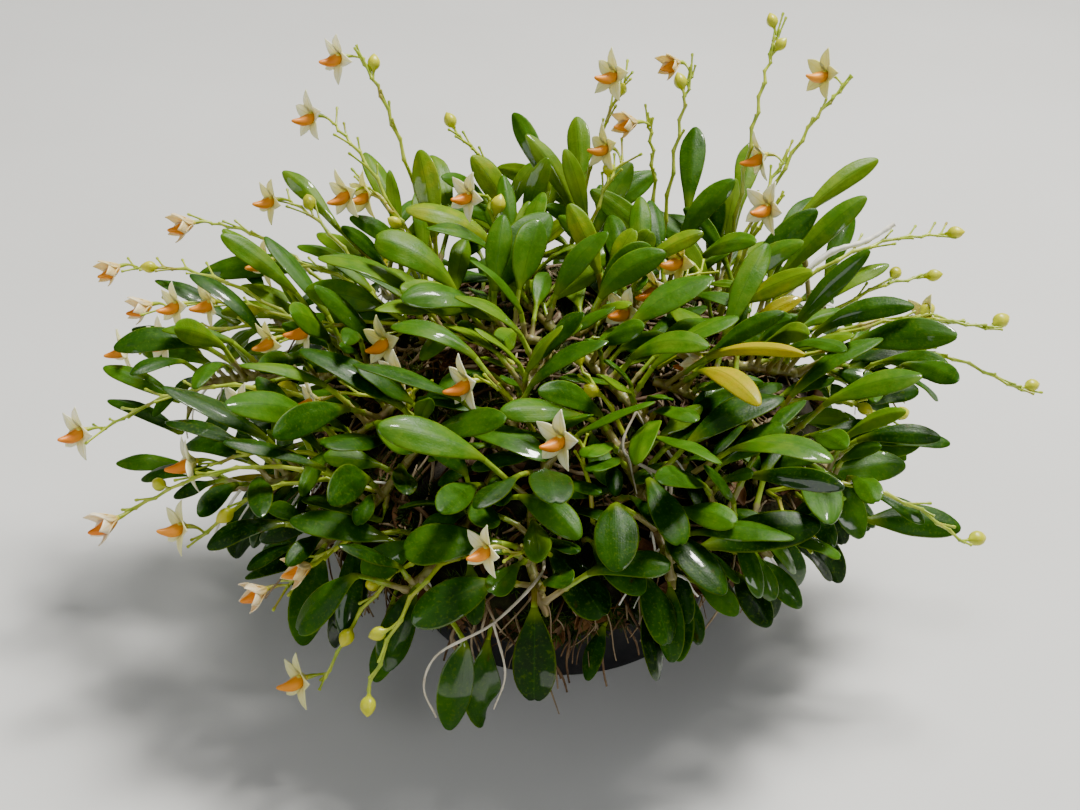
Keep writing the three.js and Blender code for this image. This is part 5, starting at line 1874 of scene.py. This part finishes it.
def scatter(master, name, count, sink, size_range, tilt, patchy=False):
    base = np.array([vertex.co for vertex in master.data.vertices])
    faces = [tuple(face.vertices) for face in master.data.polygons]
    places, loops = [], []
    laid = 0
    while laid < count:
        place, normal = ground_place(sink)
        patch = math.sin(0.19 * place[0] + 1.3) + math.sin(0.23 * place[1] + 0.1 * place[0])
        if patchy and patch < draw_between(-1.1, 0.7):
            continue
        size, spin = draw_between(*size_range), draw_between(0, 2 * math.pi)
        up = unit(normal + tilt * vec(draw() - 0.5, draw() - 0.5, draw() - 0.5))
        first, second = across(up)
        turned = first * math.cos(spin) + second * math.sin(spin)
        spun = (base * size) @ vec(turned, np.cross(up, turned), up)
        loops += [tuple(number + laid * len(base) for number in face) for face in faces]
        places.append((spun + place) * MM)
        laid += 1
    mesh = bpy.data.meshes.new(name)
    mesh.from_pydata(np.concatenate(places).tolist(), [], loops)
    litter = bpy.data.objects.new(name, mesh)
    bpy.context.collection.objects.link(litter)
    return give(dress(litter, master.data.materials[0], crease=CREASE), "mound")


chip, dry_leaf, tuft = ground_masters
litter = [
    scatter(chip, "bark_chips", CHIPS, 0.1, (0.45, 1.15), 0.9),
    scatter(dry_leaf, "dry_leaves", DRY_LEAVES, -0.1, (0.4, 0.85), 1.1),
    scatter(tuft, "moss_tufts", TUFTS, 0.25, (0.6, 1.35), 0.5, True),
]
print("litter triangles:", [2 * len(item.data.polygons) for item in litter])

# %% [markdown]
# ## Brown roots over the dome and down its edge
# Hundreds of thin brown roots creep over the moss and hang from its edge. Each one is a strand of the same
# curve-to-tube helper: it wanders over the dome just above the moss, and dips into it now and then.

# %% Build the fibrous roots
CREEPING_ROOTS = 330
FALLING_ROOTS = 230
STEM_ROOTS = 110


def creeping_strand():
    radius, angle = 50 * math.sqrt(draw()), draw_between(0, 2 * math.pi)
    heading = draw_between(0, 2 * math.pi)
    thick = draw_between(0.2, 0.5)
    x, y = radius * math.cos(angle), radius * math.sin(angle)
    places = []
    lift, lift_step = draw_between(0, 6), draw_between(0.3, 0.9)
    for step in range(int(draw_between(12, 34) / 1.6)):
        heading += draw_between(-0.45, 0.45)
        x += 1.6 * math.cos(heading)
        y += 1.6 * math.sin(heading)
        if math.hypot(x, y) > 49.5:
            break
        rise = 0.55 * math.sin(lift + lift_step * step) + 0.4 + 0.25 * thick
        places.append((x, y, float(mound_height(x, y)) + rise))
    radii = [thick * min(1, 0.4 + 0.25 * min(step, len(places) - 1 - step)) for step in range(len(places))]
    return places, radii


def falling_strand():
    """A root that leaves the dome's side, bows out and hangs, with a kink or two."""
    angle = draw_between(0, 2 * math.pi)
    radius = float(mound_edge(angle)) - draw_between(1, 3.5)
    height = on_mound(angle, radius)[2] - draw_between(0.5, 7)
    thick = draw_between(0.15, 0.42)
    length = draw_between(5, 16)
    side, bow, kink = draw_between(-0.5, 0.5), draw_between(1.5, 5), draw_between(0, 6)
    places = []
    for step in range(13):
        share = step / 12
        out = radius + bow * math.sin(math.pi * share * 0.8) + 0.03 * length * math.sin(6 * share + kink)
        turn = angle + side * share * 0.3 + 0.0006 * length * math.sin(7 * share + 2 * kink)
        places.append((out * math.cos(turn), out * math.sin(turn), height - length * share ** 1.7))
    return places, [thick * (1 - 0.5 * step / 12) for step in range(13)]


def droop(start, outward, length, first_drop, swing, last_drop, lowest):
    """The middle and the end of a root that reaches outwards from its start and bends down."""
    middle = start + pointing(outward, draw_between(*first_drop)) * length * 0.5
    end = middle + pointing(outward + draw_between(-swing, swing), draw_between(*last_drop)) * length * 0.5
    end[2] = max(end[2], lowest)
    return middle, end


def stem_root_strand():
    """A root that leaves the underside of a rhizome and reaches outwards and down."""
    rhizome = math.floor(draw() * len(RHIZOMES))
    share = draw_between(0.35, 1)
    start = rhizome_point(rhizome, share)
    outward = math.atan2(start[1], start[0]) + draw_between(-1.1, 1.1)
    length = draw_between(6, 17)
    middle, end = droop(start, outward, length, (-0.9, 0.1), 0.8, (-1.5, -0.5), 6)
    shares = np.linspace(0, 1, 11)
    wave = 0.25 * np.sin(7 * shares + 6 * share)[:, None] * vec(1, 0.6, 0.4)
    thick = draw_between(0.18, 0.34)
    return bend(start, middle, end, shares) + wave, list(thick * (1.05 - 0.5 * shares))


def side_branch(strand, share):
    """A thinner root that forks off another one and hangs beside it."""
    places, radii = strand
    step = int(share * (len(places) - 1))
    start, thick = vec(*places[step]), radii[step] * 0.75
    outward = math.atan2(start[1], start[0]) + draw_between(-1.4, 1.4)
    length = draw_between(3, 9)
    middle, end = droop(start, outward, length, (-1, 0), 0.7, (-1.5, -0.6), 4)
    shares = np.linspace(0, 1, 8)
    return bend(start, middle, end, shares), list(thick * (1 - 0.5 * shares))


def thick_root(start, middle, end):
    """One of the stout roots of the solid, with kinks and knots along its path."""
    shares = np.linspace(0, 1, 15)
    outward = unit(vec(start[0], start[1], 0))
    level = vec(-outward[1], outward[0], 0)
    kinks = np.sin(math.pi * shares)[:, None]
    swing = np.outer(np.sin(9 * shares + start[0]), level) + np.outer(np.sin(7 * shares + start[1]), outward)
    knots = 1 + 0.16 * np.sin(11 * shares + end[0])
    return bend(start, middle, end, shares) + 0.9 * kinks * swing, list((0.6 - 0.34 * shares) * knots)


creeping = [strand for strand in (creeping_strand() for _ in range(CREEPING_ROOTS)) if len(strand[0]) > 4]
hanging = [falling_strand() for _ in range(FALLING_ROOTS)]
stem_roots = [stem_root_strand() for _ in range(STEM_ROOTS)]
hanging += [thick_root(*root) for root in hanging_roots]
hanging += [side_branch(strand, draw_between(0.25, 0.7)) for strand in list(hanging[::2])]
thick_roots = hanging[FALLING_ROOTS:][:HANGING_ROOTS]
hanging += [side_branch(strand, share) for strand in thick_roots for share in (0.3, 0.5, 0.75)]
fibre_sets = [
    ("fibrous_roots", creeping[::2], "fibre_brown"),
    ("tan_roots", creeping[1::2], "root_tan"),
    ("hanging_roots", hanging[::2], "fibre_brown"),
    ("hanging_tan_roots", hanging[1::2] + stem_roots[::2], "root_tan"),
    ("stem_roots", stem_roots[1::2], "root_pale"),
]
for name, strands, finish in fibre_sets:
    fibres = give(tube_along(name, strands, ground[finish], 1), "mound")
    print(name, "triangles:", 2 * len(fibres.data.polygons))

# %% [markdown]
# ## Pale roots
# Three aerial roots stand out against the leaves: the one on the right is silvery, and the runner and the
# bent root at the lower left are greyer. Each follows its solid's smooth path, with small swellings, and the
# bent one forks.

# %% Build the pale roots
ROOT_POINTS = 40
ROOT_TAPER = 0.4
# thickness as a part of the solid's, how far the free end is moved in mm, and the skin
ROOT_LOOKS = {
    "aerial_root": (1.05, vec(0, -1.6, 2.2), "root_pale"),
    "runner": (0.34, vec(0, 0, 0), "root_grey"),
    "bent_root": (0.62, vec(0, 0, 0), "root_grey"),
}
FORKS = (0.35, 0.5, 0.62, 0.78, 0.95)


def pale_strands(name):
    slim, lift, _ = ROOT_LOOKS[name]
    curves = pale_root_curves(name)
    if len(curves) == 3:
        curves = [curves[0] + curves[2][1:], curves[1]]
    strands = []
    for number, points in enumerate(curves):
        shares = [step / ROOT_POINTS for step in range(ROOT_POINTS + 1)]
        places = [smooth_point(points, share) + lift * min(1, 2.5 * share) for share in shares]
        thick = PALE_ROOTS[name][0] * slim * (1 if number == 0 else 0.8)
        radii = []
        for step in range(ROOT_POINTS + 1):
            knob = 1 + 0.12 * math.sin(1.9 * step) + 0.1 * math.sin(0.7 * step + number)
            radii.append(thick * (1 - ROOT_TAPER * step / ROOT_POINTS) * knob)
        strands.append((places, radii))
    return strands


for name in PALE_ROOTS:
    strands = pale_strands(name)
    if name == "bent_root":
        strands += [side_branch(strands[0], share) for share in FORKS]
    skin = ground[ROOT_LOOKS[name][2]]
    give(tube_along("pale_" + name, strands, skin, 3), "root", name)
print(len(PALE_ROOTS), "pale roots")

# %% [markdown]
# ## The pot
# The pot is a plain low pan with a thick rim band and four drain holes. Turned parts are made by drawing half
# of the section and spinning it about the axis. The holes are cut by a Boolean modifier with four cylinders.

# %% Spin the pot and cut its drain holes
RIM_RADIUS = 41
RIM_BAND = 8
BASE_RADIUS = 30
POT_WALL = 1.8
POT_FLOOR = 3
POT_SLOPE = 0.235
HOLE_RING = 15
HOLE_RADIUS = 2.6
HOLES = 4
SPIN_STEPS = 128
POT_CREASE = 35

under_band = POT_HEIGHT - RIM_BAND
body_top = BASE_RADIUS + POT_SLOPE * under_band
pot_section = [
    (0, 0), (29.2, 0), (29.75, 0.2), (30.05, 0.8), (BASE_RADIUS + POT_SLOPE * 6, 6),
    (body_top - 0.1, under_band - 0.5), (body_top + 0.15, under_band), (RIM_RADIUS - 0.9, under_band),
    (RIM_RADIUS - 0.4, under_band + 0.15), (RIM_RADIUS - 0.15, under_band + 0.7),
    (RIM_RADIUS, POT_HEIGHT - 1.2), (RIM_RADIUS - 0.15, POT_HEIGHT - 0.5), (RIM_RADIUS - 0.7, POT_HEIGHT),
    (RIM_RADIUS - 2.2, POT_HEIGHT), (RIM_RADIUS - 2.6, POT_HEIGHT - 0.3),
    (BASE_RADIUS - POT_WALL + POT_SLOPE * 8, 8), (BASE_RADIUS - POT_WALL, POT_FLOOR), (0, POT_FLOOR),
]
pot = add_piece(bpy.ops.mesh.primitive_plane_add, "plain_pot", size=1)
bpy.ops.object.mode_set(mode="EDIT")
bpy.ops.mesh.delete(type="VERT")
bpy.ops.object.mode_set(mode="OBJECT")
pot.data.from_pydata(
    [(radius * MM, 0, height * MM) for radius, height in pot_section],
    [(index, index + 1) for index in range(len(pot_section) - 1)],
    [],
)
bpy.ops.object.mode_set(mode="EDIT")
bpy.ops.mesh.select_all(action="SELECT")
bpy.ops.mesh.spin(steps=SPIN_STEPS, angle=2 * math.pi, center=(0, 0, 0), axis=(0, 0, 1))
bpy.ops.mesh.select_all(action="SELECT")
bpy.ops.mesh.remove_doubles(threshold=0.01 * MM)
bpy.ops.mesh.normals_make_consistent(inside=False)
bpy.ops.object.mode_set(mode="OBJECT")
for number in range(HOLES):
    angle = math.radians(45 + 90 * number)
    place = (HOLE_RING * math.cos(angle) * MM, HOLE_RING * math.sin(angle) * MM, 1.5 * MM)
    punch = add_piece(
        bpy.ops.mesh.primitive_cylinder_add, "punch",
        vertices=32, radius=HOLE_RADIUS * MM, depth=8 * MM, location=place,
    )
    bpy.ops.object.transform_apply(location=True)
    cut = pot.modifiers.new("drain_hole", "BOOLEAN")
    cut.operation = "DIFFERENCE"
    cut.object = punch
    select_only(pot)
    bpy.ops.object.modifier_apply(modifier=cut.name)
    bpy.data.objects.remove(punch)
give(dress(pot, pot_material, crease=POT_CREASE), "pot", "pot")
print("pot faces:", len(pot.data.polygons))

# %% [markdown]
# ## Potting mix
# The mix's solid already fills the pot, and little of it shows, so the solid stays and takes a bark finish.

# %% Finish the mix and put the masters away
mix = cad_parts["potting_mix"]
mix.data.materials.clear()
mix.data.materials.append(ground["potting_bark"])
for master in (*leaf_masters.values(), open_flower, half_flower, bud, *ground_masters):
    bpy.data.objects.remove(master)
low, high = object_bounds()
sizes = {"cad": [list(cad_low), list(cad_high)], "visual": [list(low), list(high)]}
print("visual box in mm", [round(value / MM, 1) for value in (*low, *high)])
